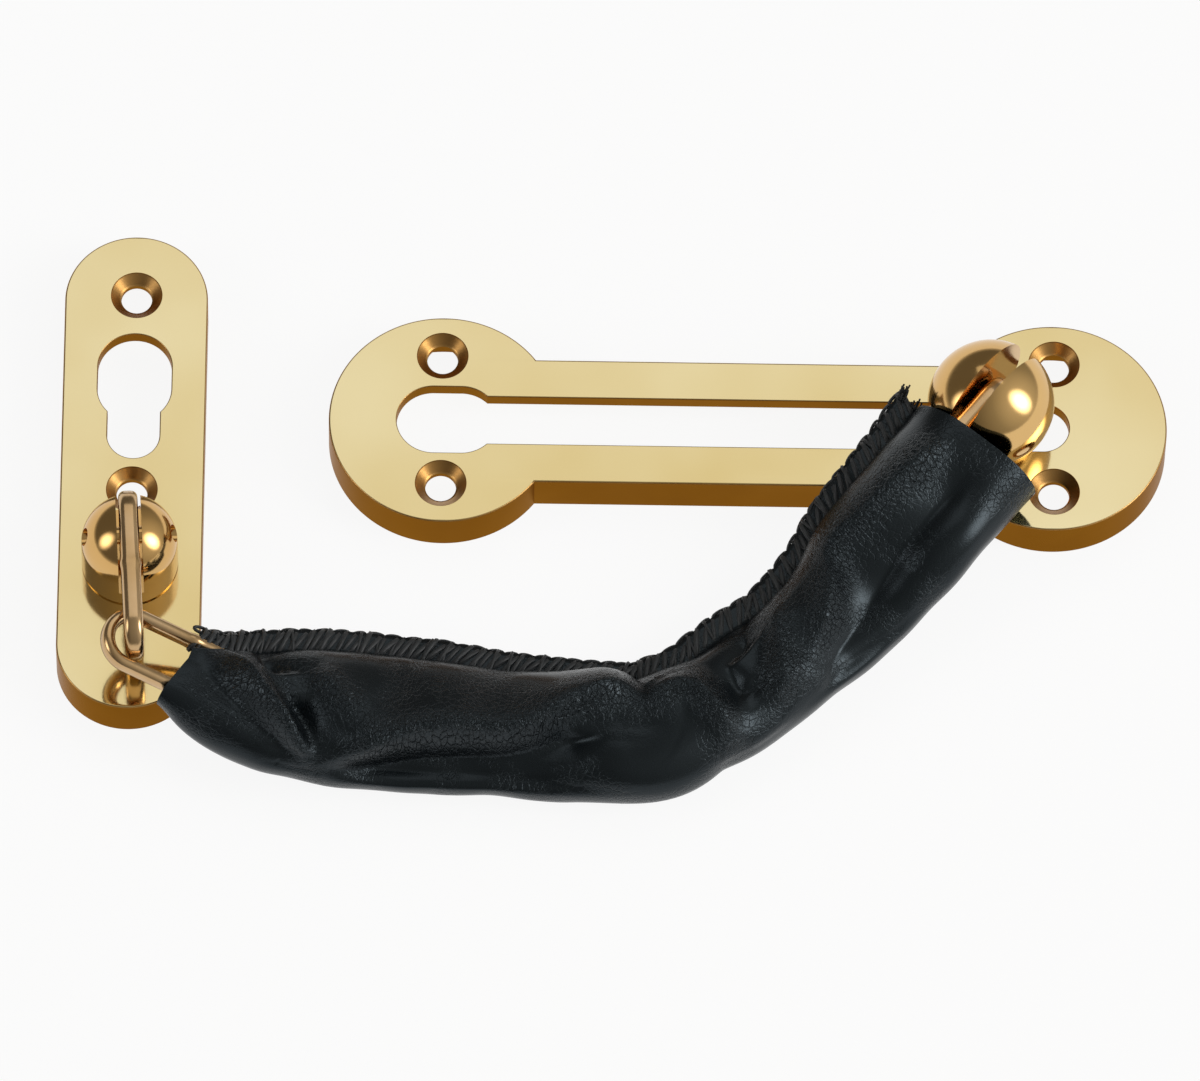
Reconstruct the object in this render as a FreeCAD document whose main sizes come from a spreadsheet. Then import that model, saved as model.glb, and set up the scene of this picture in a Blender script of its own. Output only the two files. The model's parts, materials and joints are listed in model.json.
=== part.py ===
import FreeCAD, Part
import math
import os

import Sketcher
from FreeCAD import Placement, Rotation, Vector

# A door chain guard, laid flat as it comes out of its box, in millimetres.
# X runs along the slide plate's slot, Y up the anchor plate and Z out of the plates' faces.
# Both plates lie with their open backs on Z = 0, and nine links join them through a sleeve.
# The origin is on that plane, below the middle of the whole set.

doc = FreeCAD.newDocument("door_chain_guard")
sheet = doc.addObject("Spreadsheet::Sheet", "Sizes")

SIZES = [
    # both plates: open-backed castings with one face web
    ("plate_thick", 8.5, "plate height, back rim to face"),
    ("web_thick", 2.6, "thickness of the face web"),
    ("wall_thick", 2.2, "thickness of the outer walls"),
    ("edge_break", 0.35, "small round on the polished face's rim"),
    ("screw_hole_radius", 2.65, "clear hole for a wood screw"),
    ("countersink_radius", 4.35, "countersink at the face"),
    ("entry_radius", 6.35, "round ends of the wide entry"),
    ("slot_radius", 4.5, "half the width of the narrow slot"),
    # slide plate
    ("slide_x", 22.9, "middle of the slide plate from the origin"),
    ("slide_y", 18.43, "middle of the slide plate from the origin"),
    ("disc_radius", 19.7, "round ends of the slide plate"),
    ("disc_reach", 52.3, "slide plate's middle to the middle of a round end"),
    ("bar_half_width", 11.8, "half the width of the bar between the round ends"),
    ("slide_screw_x", 52.6, "screw hole from the slide plate's middle, along"),
    ("slide_screw_y", 12.3, "screw hole from the slide plate's middle, across"),
    ("entry_start", -54.0, "outer centre of the entry"),
    ("entry_end", -49.3, "inner centre of the entry"),
    ("slot_end", 50.7, "centre of the slot's closed end"),
    # anchor plate, measured from its top end
    ("anchor_half_width", 12.3, "half the width of the anchor plate"),
    ("anchor_length", 90.8, "length of the anchor plate"),
    ("anchor_screw_top", 11.4, "top end to the first screw hole"),
    ("anchor_screw_low", 49.0, "top end to the second screw hole"),
    ("parking_start", 25.3, "top end to the parking hole's wide centre"),
    ("parking_end", 29.4, "top end to the parking hole's second wide centre"),
    ("parking_slot_end", 38.4, "top end to the centre of the narrow end"),
    ("post_reach", 62.9, "top end to the post"),
    # swivelling ends: both are cleft, cross-pinned and screwed from behind
    ("cleft_width", 4.3, "cleft that a link stands in"),
    ("pin_radius", 1.5, "cross pin"),
    ("pin_bore_radius", 1.52, "bore for the cross pin"),
    ("core_radius", 2.0, "hollow middle of a turned end, inside the cleft's width"),
    ("end_gap", 0.1, "running gap between a turning end and its plate"),
    ("neck_radius", 4.2, "round neck that runs in the slot"),
    ("washer_radius", 6.1, "washer behind the web"),
    ("washer_thick", 1.5, "thickness of the washer"),
    ("washer_bore_radius", 2.05, "bore of the washer"),
    ("screw_radius", 2.0, "shank of the retaining screw"),
    ("screw_length", 5.5, "shank of the retaining screw, beyond its head"),
    ("screw_bore_radius", 2.02, "bore that the retaining screw bites in"),
    ("screw_head_radius", 3.6, "head of the retaining screw"),
    ("screw_head_height", 2.1, "head of the retaining screw"),
    ("recess_width", 1.0, "cross recess of the retaining screw"),
    ("recess_length", 4.4, "cross recess of the retaining screw"),
    ("recess_depth", 1.2, "cross recess of the retaining screw"),
    # slider knob: a ball cut flat at its foot
    ("knob_radius", 10.9, "ball of the slider knob"),
    ("knob_centre", 9.0, "middle of the ball above the face"),
    ("knob_floor", 2.2, "floor of the cleft above the face"),
    ("knob_travel_rest", 41.5, "knob from the slide plate's middle at rest"),
    # anchor post: a cylinder with a domed top
    ("post_radius", 8.25, "cylinder and dome of the anchor post"),
    ("post_shoulder", 7.3, "height of the cylinder above the face"),
    ("post_floor", 3.9, "floor of the cleft above the face"),
    ("post_pin_height", 10.0, "cross pin above the face"),
    ("post_link_offset", 7.8, "post's axis from the middle of the link in its cleft"),
    ("post_neck_radius", 5.0, "round neck in the plate's own hole"),
    ("post_hole_radius", 5.05, "hole for the post's neck"),
    # chain
    ("wire_half_width", 1.12, "flat-sided wire of a link, half its size in the link's plane"),
    ("wire_half_height", 1.66, "flat-sided wire of a link, half its size across that plane"),
    ("link_length", 31.2, "link, outside"),
    ("link_width", 11.5, "link, outside"),
    ("weld_swell", 0.14, "how far the bead stands out where a link's wire ends meet"),
    ("weld_length", 2.2, "bead where a link's wire ends meet"),
    ("upright_play", 1.2, "upright link's joint to the middle of its wire at the bend"),
    ("last_play", 2.0, "the same on the link in the post"),
    ("loose_reach", -1.05, "flat link's bend centre to its joint, where the chain lies loose"),
    ("steep_reach", -0.1, "flat link's bend centre to its joint, where it is drawn up"),
    ("knob_link_play", 0.8, "play between the knob's pin and its link"),
    # sleeve
    ("sleeve_half_width", 11.0, "tube of the sleeve, across"),
    ("sleeve_half_height", 7.05, "tube of the sleeve, upright"),
    ("pivot_half_height", 6.4, "tube where it closes in on the steep link"),
    ("pinch_length", 2.4, "stretch over which it closes in"),
    ("mouth_half_height", 3.1, "flattened mouth over the steep link"),
    ("mouth_clear", 5.0, "steep link's lower joint to where the tube is flattened"),
    ("mouth_start", 9.9, "knob's axis to the sleeve's mouth there"),
    ("mouth_end", 10.5, "steep link's lower joint to the other mouth"),
    ("sleeve_wall", 0.8, "thickness of the imitation leather"),
    ("seam_reach", 5.0, "sewn edge beyond the tube"),
    ("seam_thick", 2.2, "two layers of the sewn edge"),
    ("span_gap", 0.3, "gap between one sleeve span and the next"),
]

# each link from the knob's end: its number, its heading in the plane of the plates in
# degrees, and the height of the joint at its far end
LINKS = [
    (9, -128.8, 15.5),
    (8, -130.5, 9.1),
    (7, -131.1, 7.1),
    (6, -148.7, 7.1),
    (5, -184.3, 7.1),
    (4, -182.5, 7.1),
    (3, -187.8, 11.9),
    (2, -197.9, 18.45),
    (1, -266.4, 18.45),
]
for number, heading, height in LINKS:
    SIZES.append(("heading_%d" % number, heading, "heading of link %d" % number))
    SIZES.append(("joint_height_%d" % number, height, "far joint of link %d" % number))

for row, (alias, value, note) in enumerate(SIZES, start=1):
    sheet.set("A%d" % row, note)
    sheet.set("B%d" % row, str(value))
    sheet.setAlias("B%d" % row, alias)
doc.recompute()


def size(alias):
    """The number in the sheet's cell of that alias."""
    return float(sheet.get(alias))


def cell(expression):
    """The expression with each alias in braces read from the sheet."""
    return expression.replace("{", "Sizes.").replace("}", "")


# ---------------------------------------------------------------- sketches

ORIGIN_POINT = (-1, 1)
LEVEL_LINE = -1
AXIS_LINE = -2
CENTRE = 3


def new_body(label):
    """An empty PartDesign body whose label is also its node's name."""
    body = doc.addObject("PartDesign::Body", label)
    body.Label = label
    return body


def new_sketch(body, name, role="XY_Plane", height=None):
    """A sketch on one of the body's own origin planes, raised by an expression."""
    sketch = body.newObject("Sketcher::SketchObject", body.Label + "_" + name)
    plane = [item for item in body.Origin.OriginFeatures if item.Role == role][0]
    sketch.AttachmentSupport = [(plane, "")]
    sketch.MapMode = "FlatFace"
    if height is not None:
        sketch.setExpression(".AttachmentOffset.Base.z", cell(height))
    return sketch


def drive(sketch, constraint, name, expression):
    """Add a dimension and bind it to the sheet."""
    index = sketch.addConstraint(constraint)
    sketch.renameConstraint(index, name)
    sketch.setExpression("Constraints." + name, cell(expression))


def value_of(expression):
    """The present value of an expression of sheet aliases."""
    return float(sheet.evalExpression(cell(expression)))


def locate(sketch, point, name, x, y):
    """Hold a point at x and y from the sketch's origin; None keeps it on the axis."""
    geometry, vertex = point
    for axis, expression, line in (("X", x, AXIS_LINE), ("Y", y, LEVEL_LINE)):
        if expression is None:
            on_axis = Sketcher.Constraint("PointOnObject", geometry, vertex, line)
            sketch.addConstraint(on_axis)
            continue
        distance = Sketcher.Constraint(
            "Distance" + axis, *ORIGIN_POINT, geometry, vertex, value_of(expression)
        )
        drive(sketch, distance, name + axis, expression)


def draw_circle(sketch, name, radius, x=None, y=None):
    """A circle of a bound radius, centred at bound distances."""
    centre = Vector(value_of(x) if x else 0, value_of(y) if y else 0, 0)
    circle = sketch.addGeometry(Part.Circle(centre, Vector(0, 0, 1), value_of(radius)), False)
    locate(sketch, (circle, CENTRE), name, x, y)
    drive(sketch, Sketcher.Constraint("Radius", circle, value_of(radius)), name + "R", radius)


def draw_rectangle(sketch, name, left, right, low, high):
    """An upright rectangle between four bound distances."""
    x0, x1, y0, y1 = [value_of(side) for side in (left, right, low, high)]
    corners = [Vector(x0, y0, 0), Vector(x1, y0, 0), Vector(x1, y1, 0), Vector(x0, y1, 0)]
    first = sketch.GeometryCount
    for index in range(4):
        line = Part.LineSegment(corners[index], corners[(index + 1) % 4])
        sketch.addGeometry(line, False)
    for index in range(4):
        after = first + (index + 1) % 4
        sketch.addConstraint(Sketcher.Constraint("Coincident", first + index, 2, after, 1))
        direction = "Horizontal" if index % 2 == 0 else "Vertical"
        sketch.addConstraint(Sketcher.Constraint(direction, first + index))
    locate(sketch, (first, 1), name + "Low", left, low)
    locate(sketch, (first + 2, 1), name + "High", right, high)


def draw_stadium(sketch, name, start, end, radius, upright=False):
    """Two half circles of one bound radius joined by tangent lines, along X or up Y."""
    a, b, r = value_of(start), value_of(end), value_of(radius)
    turn = math.pi / 2 if upright else 0.0
    along = Vector(math.cos(turn), math.sin(turn), 0)
    side = Vector(-math.sin(turn), math.cos(turn), 0)
    normal = Vector(0, 0, 1)
    first = sketch.GeometryCount
    half = math.pi / 2
    back = Part.Circle(along * a, normal, r)
    front = Part.Circle(along * b, normal, r)
    sketch.addGeometry(Part.ArcOfCircle(back, turn + half, turn + 3 * half), False)
    sketch.addGeometry(Part.LineSegment(along * a - side * r, along * b - side * r), False)
    sketch.addGeometry(Part.ArcOfCircle(front, turn - half, turn + half), False)
    sketch.addGeometry(Part.LineSegment(along * b + side * r, along * a + side * r), False)
    for index in range(4):
        after = first + (index + 1) % 4
        sketch.addConstraint(Sketcher.Constraint("Tangent", first + index, 2, after, 1))
    sketch.addConstraint(Sketcher.Constraint("Equal", first, first + 2))
    ends = [(None, start), (None, end)] if upright else [(start, None), (end, None)]
    locate(sketch, (first, CENTRE), name + "Start", *ends[0])
    locate(sketch, (first + 2, CENTRE), name + "End", *ends[1])
    drive(sketch, Sketcher.Constraint("Radius", first, r), name + "R", radius)


def draw_closed_line(sketch, points):
    """Straight lines from point to point and back to the first, joined at their ends."""
    for index, point in enumerate(points):
        after = points[(index + 1) % len(points)]
        sketch.addGeometry(Part.LineSegment(point, after), False)
    for index in range(len(points)):
        after = (index + 1) % len(points)
        sketch.addConstraint(Sketcher.Constraint("Coincident", index, 2, after, 1))


# ---------------------------------------------------------------- features


def pad(sketch, length, reversed_way=False):
    """Pad a sketch of a body by a bound length."""
    body = sketch.getParentGeoFeatureGroup()
    feature = body.newObject("PartDesign::Pad", sketch.Name + "_pad")
    feature.Profile = sketch
    feature.setExpression("Length", cell(length))
    feature.Reversed = reversed_way
    return feature


def pocket(sketch, length=None, reversed_way=False, both_ways=False):
    """Pocket a sketch by a bound length, or through everything."""
    body = sketch.getParentGeoFeatureGroup()
    feature = body.newObject("PartDesign::Pocket", sketch.Name + "_pocket")
    feature.Profile = sketch
    if both_ways:
        feature.SideType = "Symmetric"
    if length is None:
        feature.Type = "ThroughAll"
    else:
        feature.setExpression("Length", cell(length))
    feature.Reversed = reversed_way
    return feature


def countersunk_holes(body, name, places):
    """Screw holes with a 90 degree countersink down from the plate's face."""
    sketch = new_sketch(body, name, height="{plate_thick}")
    for index, (x, y) in enumerate(places):
        draw_circle(sketch, "Hole%d" % index, "{screw_hole_radius}", x, y)
    doc.recompute()
    hole = body.newObject("PartDesign::Hole", body.Label + "_" + name + "_holes")
    hole.Profile = sketch
    hole.DepthType = "ThroughAll"
    hole.HoleCutType = "Countersink"
    hole.HoleCutCountersinkAngle = 90.0
    hole.setExpression("Diameter", cell("2 * {screw_hole_radius}"))
    hole.setExpression("HoleCutDiameter", cell("2 * {countersink_radius}"))
    return hole


def break_face_rim(body):
    """Take the sharp edge off the polished face's outer rim."""
    doc.recompute()
    solid = body.Tip
    top = max(solid.Shape.Faces, key=lambda face: face.CenterOfMass.z)
    face_name = "Face%d" % (1 + [top.isSame(face) for face in solid.Shape.Faces].index(True))
    chamfer = body.newObject("PartDesign::Chamfer", body.Label + "_rim")
    chamfer.Base = (solid, [face_name])
    chamfer.setExpression("Size", cell("{edge_break}"))
    return chamfer


# ---------------------------------------------------------------- plates


def make_slide_plate():
    """The long plate: two discs joined by a bar, with the keyhole slot along it."""
    body = new_body("slide_plate")
    bar = new_sketch(body, "bar")
    draw_rectangle(
        bar, "Bar", "-{disc_reach}", "{disc_reach}", "-{bar_half_width}", "{bar_half_width}"
    )
    pad(bar, "{plate_thick}")
    discs = new_sketch(body, "discs")
    draw_circle(discs, "Left", "{disc_radius}", "-{disc_reach}")
    draw_circle(discs, "Right", "{disc_radius}", "{disc_reach}")
    pad(discs, "{plate_thick}")
    break_face_rim(body)

    # the back is hollow up to the web, inside walls that follow the outline
    bar_back = new_sketch(body, "bar_back")
    inner = "({bar_half_width} - {wall_thick})"
    draw_rectangle(bar_back, "Back", "-{disc_reach}", "{disc_reach}", "-" + inner, inner)
    pocket(bar_back, "{plate_thick} - {web_thick}", reversed_way=True)
    disc_back = new_sketch(body, "disc_back")
    draw_circle(disc_back, "Left", "{disc_radius} - {wall_thick}", "-{disc_reach}")
    draw_circle(disc_back, "Right", "{disc_radius} - {wall_thick}", "{disc_reach}")
    pocket(disc_back, "{plate_thick} - {web_thick}", reversed_way=True)

    # the wide entry takes the washer, and the narrow slot then holds it
    entry = new_sketch(body, "entry", height="{plate_thick}")
    draw_stadium(entry, "Entry", "{entry_start}", "{entry_end}", "{entry_radius}")
    pocket(entry)
    slot = new_sketch(body, "slot", height="{plate_thick}")
    draw_stadium(slot, "Slot", "{entry_end}", "{slot_end}", "{slot_radius}")
    pocket(slot)
    sides = [
        (x, y)
        for x in ("-{slide_screw_x}", "{slide_screw_x}")
        for y in ("-{slide_screw_y}", "{slide_screw_y}")
    ]
    countersunk_holes(body, "screws", sides)
    return body


def make_anchor_plate():
    """The short plate: a stadium with the post's hole and a keyhole to park the knob in.

    Its own Y runs up from the post's axis, which is its own origin.
    """
    body = new_body("anchor_plate")
    low = "-({anchor_length} - {post_reach} - {anchor_half_width})"
    high = "{post_reach} - {anchor_half_width}"
    outline = new_sketch(body, "outline")
    draw_stadium(outline, "Outline", low, high, "{anchor_half_width}", upright=True)
    pad(outline, "{plate_thick}")
    break_face_rim(body)

    back = new_sketch(body, "back")
    inner = "{anchor_half_width} - {wall_thick}"
    draw_stadium(back, "Back", low, high, inner, upright=True)
    pocket(back, "{plate_thick} - {web_thick}", reversed_way=True)

    parking = new_sketch(body, "parking", height="{plate_thick}")
    wide_low = "{post_reach} - {parking_end}"
    wide_high = "{post_reach} - {parking_start}"
    draw_stadium(parking, "Wide", wide_low, wide_high, "{entry_radius}", upright=True)
    pocket(parking)
    narrow = new_sketch(body, "narrow", height="{plate_thick}")
    narrow_low = "{post_reach} - {parking_slot_end}"
    draw_stadium(narrow, "Narrow", narrow_low, wide_low, "{slot_radius}", upright=True)
    pocket(narrow)
    post_hole = new_sketch(body, "post_hole", height="{plate_thick}")
    draw_circle(post_hole, "Post", "{post_hole_radius}")
    pocket(post_hole)
    places = [
        (None, "{post_reach} - {anchor_screw_top}"),
        (None, "{post_reach} - {anchor_screw_low}"),
    ]
    countersunk_holes(body, "screws", places)
    return body


# ---------------------------------------------------------------- swivelling ends

TURNED_SIDES = 32
KNOB_CHORDS = 9
DOME_CHORDS = 6


def draw_turned_profile(sketch, radius, centre, foot, chords, on_cylinder=False):
    """A ball's outline in equal chords, cut off at its foot or stood on a cylinder.

    It stops short of the axis at the core, which the neck fills and the cleft clears.
    """
    ball, middle, low = value_of(radius), value_of(centre), value_of(foot)
    core = size("core_radius")
    start = 0.0 if on_cylinder else math.asin((low - middle) / ball)
    end = math.acos(core / ball)
    points = [Vector(core, low, 0)]
    if on_cylinder:
        points.append(Vector(ball, low, 0))
    first = len(points)
    for step in range(chords + 1):
        angle = start + (end - start) * step / chords
        points.append(Vector(ball * math.cos(angle), middle + ball * math.sin(angle), 0))
    last = len(points) - 1
    draw_closed_line(sketch, points)
    guide = sketch.addGeometry(Part.Circle(Vector(0, middle, 0), Vector(0, 0, 1), ball), True)
    locate(sketch, (guide, CENTRE), "Centre", None, centre)
    drive(sketch, Sketcher.Constraint("Radius", guide, ball), "Ball", radius)
    for index in range(first, last + 1):
        sketch.addConstraint(Sketcher.Constraint("PointOnObject", index, 1, guide))
    for index in range(first + 1, last):
        sketch.addConstraint(Sketcher.Constraint("Equal", first, index))
    sketch.addConstraint(Sketcher.Constraint("Vertical", last))
    sketch.addConstraint(Sketcher.Constraint("Horizontal", 0))
    if on_cylinder:
        sketch.addConstraint(Sketcher.Constraint("Vertical", 1))
        sketch.addConstraint(Sketcher.Constraint("Horizontal", first, 1, guide, CENTRE))
    locate(sketch, (0, 1), "Core", "{core_radius}", foot)


def draw_ring_path(sketch):
    """A regular polygon round the axis, from the middle of a side back to it."""
    ring = value_of("{core_radius} + {wall_thick}")
    corners = [Vector(ring * math.cos(math.pi / TURNED_SIDES), 0, 0)]
    for side in range(TURNED_SIDES):
        angle = math.pi * (2 * side + 1) / TURNED_SIDES
        corners.append(Vector(ring * math.cos(angle), ring * math.sin(angle), 0))
    draw_closed_line(sketch, corners)
    guide = sketch.addGeometry(Part.Circle(Vector(0, 0, 0), Vector(0, 0, 1), ring), True)
    for index in range(1, len(corners)):
        sketch.addConstraint(Sketcher.Constraint("PointOnObject", index, 1, guide))
    for index in range(2, len(corners) - 1):
        sketch.addConstraint(Sketcher.Constraint("Equal", 1, index))
    sketch.addConstraint(Sketcher.Constraint("Vertical", 0))
    sketch.addConstraint(Sketcher.Constraint("PointOnObject", 0, 1, LEVEL_LINE))
    sketch.addConstraint(Sketcher.Constraint("Vertical", len(corners) - 1))
    sketch.addConstraint(Sketcher.Constraint("Coincident", guide, CENTRE, *ORIGIN_POINT))
    drive(sketch, Sketcher.Constraint("Radius", guide, ring), "Ring", "{core_radius} + {wall_thick}")


def turn(profile):
    """Carry a profile round the axis in flats, mitred at each corner of the path."""
    body = profile.getParentGeoFeatureGroup()
    path = new_sketch(body, "path")
    draw_ring_path(path)
    turned = body.newObject("PartDesign::AdditivePipe", body.Label + "_turned")
    turned.Profile = profile
    turned.Spine = (path, [])
    turned.Transition = "Right corner"


def cleave(body, floor):
    """Saw the cleft that a link stands in, down to a floor above the face."""
    sketch = new_sketch(body, "cleft", "YZ_Plane")
    half = "{cleft_width} / 2"
    roof = "{plate_thick} + 3 * {knob_radius}"
    draw_rectangle(sketch, "Cleft", "-" + half, half, "{plate_thick} + " + floor, roof)
    pocket(sketch, both_ways=True)


def bore_for_pin(body, height):
    """Drill across the cleft for the cross pin."""
    sketch = new_sketch(body, "pin_bore", "XZ_Plane")
    draw_circle(sketch, "Bore", "{pin_bore_radius}", None, height)
    pocket(sketch, both_ways=True)


def add_neck(body, radius, floor):
    """The neck from below the face web up into the cleft, bored for the retaining screw."""
    bottom = "{plate_thick} - {web_thick} - {end_gap}"
    neck = new_sketch(body, "neck", height=bottom)
    draw_circle(neck, "Neck", radius)
    pad(neck, "{web_thick} + {end_gap} + {cleft_width} + " + floor)
    bore = new_sketch(body, "screw_bore", height=bottom)
    draw_circle(bore, "Bore", "{screw_bore_radius}")
    pocket(bore, "{screw_length} - {washer_thick} + {end_gap}", reversed_way=True)


def make_slider_knob():
    """The ball that the far end of the chain hangs in; its own X runs along the cleft."""
    body = new_body("slider_knob")
    profile = new_sketch(body, "profile", "XZ_Plane")
    centre, foot = "{plate_thick} + {knob_centre}", "{plate_thick} + {end_gap}"
    draw_turned_profile(profile, "{knob_radius}", centre, foot, KNOB_CHORDS)
    turn(profile)
    add_neck(body, "{neck_radius}", "{knob_floor}")
    cleave(body, "{knob_floor}")
    bore_for_pin(body, centre)
    return body


def make_anchor_post():
    """The domed post of the anchor plate; its own X runs along the cleft."""
    body = new_body("anchor_post")
    profile = new_sketch(body, "profile", "XZ_Plane")
    shoulder, foot = "{plate_thick} + {post_shoulder}", "{plate_thick} + {end_gap}"
    draw_turned_profile(profile, "{post_radius}", shoulder, foot, DOME_CHORDS, on_cylinder=True)
    turn(profile)
    add_neck(body, "{post_neck_radius}", "{post_floor}")
    cleave(body, "{post_floor}")
    bore_for_pin(body, "{plate_thick} + {post_pin_height}")
    return body


def make_pin(label, height, half_length):
    """A cross pin at its height; its own Y runs along the pin."""
    body = new_body(label)
    sketch = new_sketch(body, "section", "XZ_Plane")
    draw_circle(sketch, "Pin", "{pin_radius}", None, height)
    pin = pad(sketch, "2 * " + half_length)
    pin.SideType = "Symmetric"
    return body


def make_washer(label):
    """The round washer behind the web, on the retaining screw."""
    body = new_body(label)
    top = "{plate_thick} - {web_thick} - 1.5 * {end_gap}"
    sketch = new_sketch(body, "section", height=top)
    draw_circle(sketch, "Outside", "{washer_radius}")
    draw_circle(sketch, "Bore", "{washer_bore_radius}")
    pad(sketch, "{washer_thick}", reversed_way=True)
    return body


def make_screw(label):
    """The retaining screw from behind, with a cross recess in its flat head."""
    body = new_body(label)
    seat = "{plate_thick} - {web_thick} - 2 * {end_gap} - {washer_thick}"
    head = new_sketch(body, "head", height=seat)
    draw_circle(head, "Head", "{screw_head_radius}")
    pad(head, "{screw_head_height}", reversed_way=True)
    shank = new_sketch(body, "shank", height=seat)
    draw_circle(shank, "Shank", "{screw_radius}")
    pad(shank, "{screw_length}")
    below = seat + " - {screw_head_height}"
    for name, across, along in (("one", "width", "length"), ("two", "length", "width")):
        recess = new_sketch(body, "recess_" + name, height=below)
        x, y = "{recess_%s} / 2" % across, "{recess_%s} / 2" % along
        draw_rectangle(recess, "Recess", "-" + x, x, "-" + y, y)
        pocket(recess, "{recess_depth}", reversed_way=True)
    return body


# ---------------------------------------------------------------- chain

BEND_CHORDS = 8
WIRE_CHORDS = 4
STEEP_LINK = 2


def draw_chorded_oval(sketch, reach, radius, chords, x=None):
    """Two half rounds in equal chords, joined by two straight legs.

    It runs along X from mid leg to mid leg, or stands upright about a bound place on X.
    """
    upright = x is not None
    far, ring = value_of(reach), value_of(radius)
    middle = Vector(value_of(x) if upright else 0, 0, 0)
    turn = Rotation(Vector(0, 0, 1), 90 if upright else 0)
    points = [] if upright else [Vector(0, -ring, 0)]
    for end in (1, -1):
        for step in range(chords + 1):
            angle = math.pi * (step / chords - end / 2)
            spot = Vector(end * far + ring * math.cos(angle), ring * math.sin(angle), 0)
            points.append(middle + turn.multVec(spot))
    draw_closed_line(sketch, points)
    if not upright:
        sketch.addConstraint(Sketcher.Constraint("PointOnObject", 0, 1, AXIS_LINE))
        sketch.addConstraint(Sketcher.Constraint("Horizontal", 0))
    first = len(points) - 2 * (chords + 1)
    for name, sign in (("Far", ""), ("Near", "-")):
        place = (x, sign + reach) if upright else (sign + reach, None)
        centre = Vector(*[value_of(side) if side else 0 for side in place], 0)
        guide = sketch.addGeometry(Part.Circle(centre, Vector(0, 0, 1), ring), True)
        locate(sketch, (guide, CENTRE), name, *place)
        drive(sketch, Sketcher.Constraint("Radius", guide, ring), name + "R", radius)
        last = first + chords
        for index in range(first, last + 1):
            sketch.addConstraint(Sketcher.Constraint("PointOnObject", index, 1, guide))
        for index in range(first + 1, last):
            sketch.addConstraint(Sketcher.Constraint("Equal", first, index))
        for index in (first, last):
            level = "Horizontal" if upright else "Vertical"
            sketch.addConstraint(Sketcher.Constraint(level, index, 1, guide, CENTRE))
        first = last + 1


def make_link(label):
    """One chain link of flat-sided wire, lying in its own XY plane, its length along X."""
    body = new_body(label)
    spine = new_sketch(body, "spine")
    bend_centre = "({link_length} - {link_width}) / 2"
    leg = "({link_width} / 2 - {wire_half_width})"
    draw_chorded_oval(spine, bend_centre, leg, BEND_CHORDS)
    section = new_sketch(body, "section", "YZ_Plane")
    flat = "({wire_half_height} - {wire_half_width})"
    draw_chorded_oval(section, flat, "{wire_half_width}", WIRE_CHORDS, "-" + leg)
    wire = body.newObject("PartDesign::AdditivePipe", label + "_wire")
    wire.Profile = section
    wire.Spine = (spine, [])
    wire.Transition = "Right corner"

    # the wire's ends meet in a butt weld in the middle of the other leg
    weld = new_sketch(body, "weld", "YZ_Plane")
    swollen = "({wire_half_width} + {weld_swell})"
    draw_chorded_oval(weld, flat, swollen, WIRE_CHORDS, leg)
    bead = pad(weld, "{weld_length}")
    bead.SideType = "Symmetric"
    return body


UP = Vector(0, 0, 1)


def is_upright(number):
    """Odd links stand on edge; even ones lie flat."""
    return number % 2 == 1


def reaches(number):
    """A link's middle to its joint toward the knob, and to its joint toward the post."""
    bend_centre = (size("link_length") - size("link_width")) / 2
    apex = size("link_length") / 2 - size("wire_half_width")
    inner_apex = apex - size("wire_half_width")
    upright = apex - size("upright_play")
    if number == LINKS[0][0]:
        return inner_apex - size("pin_radius") - size("knob_link_play"), upright
    if number == LINKS[-1][0]:
        return apex - size("last_play"), size("post_link_offset")
    if is_upright(number):
        return upright, upright
    reach = bend_centre + size("steep_reach" if number == STEEP_LINK else "loose_reach")
    return reach, reach


class ChainLayout:
    """Where every joint and link middle lies, from the knob's pin to the post's pin."""

    def __init__(self):
        knob_x = size("slide_x") + size("knob_travel_rest")
        knob_z = size("plate_thick") + size("knob_centre")
        here = Vector(knob_x, size("slide_y"), knob_z)
        self.joints = [here]
        self.placements = {}
        self.run = {}
        for number, _, _ in LINKS:
            heading = size("heading_%d" % number)
            near, far = reaches(number)
            rise = size("joint_height_%d" % number) - here.z
            pitch = math.degrees(math.asin(rise / (near + far)))
            turn = Rotation(UP, heading)
            tilt = Rotation(Vector(0, 1, 0), -pitch)
            roll = Rotation(Vector(1, 0, 0), 90 if is_upright(number) else 0)
            along = (turn * tilt).multVec(Vector(1, 0, 0))
            self.placements[number] = Placement(here + along * near, turn * tilt * roll)
            self.run[number] = (heading, math.radians(pitch), near, far)
            here = here + along * (near + far)
            self.joints.append(here)


layout = ChainLayout()
knob_joint, post_joint = layout.joints[0], layout.joints[-1]

# ---------------------------------------------------------------- sleeve

TUBE_SIDES = 16
FACET_JOIN = 1e-6


def ring(station, offsets):
    """Points given across and above the span's line at one station.

    The ring's plane is turned about the upright, and the whole ring climbs with the span.
    """
    along, turn, slope = station
    points = []
    for across, above in offsets:
        x = along - across * math.tan(turn)
        points.append(Vector(x, across, x * slope + above))
    return points


def facet(corners):
    """A flat face between corners."""
    return Part.Face(Part.makePolygon([*corners, corners[0]]))


def skin(rings):
    """A closed solid of flat facets through rings of as many points each."""
    faces = [facet(rings[0]), facet(rings[-1])]
    for one, two in zip(rings, rings[1:]):
        for index in range(len(one)):
            after = (index + 1) % len(one)
            faces.append(facet([one[index], one[after], two[after]]))
            faces.append(facet([one[index], two[after], two[index]]))
    solid = Part.Solid(Part.makeShell(faces))
    solid.fix(FACET_JOIN, FACET_JOIN, FACET_JOIN)
    return solid.removeSplitter()


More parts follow.
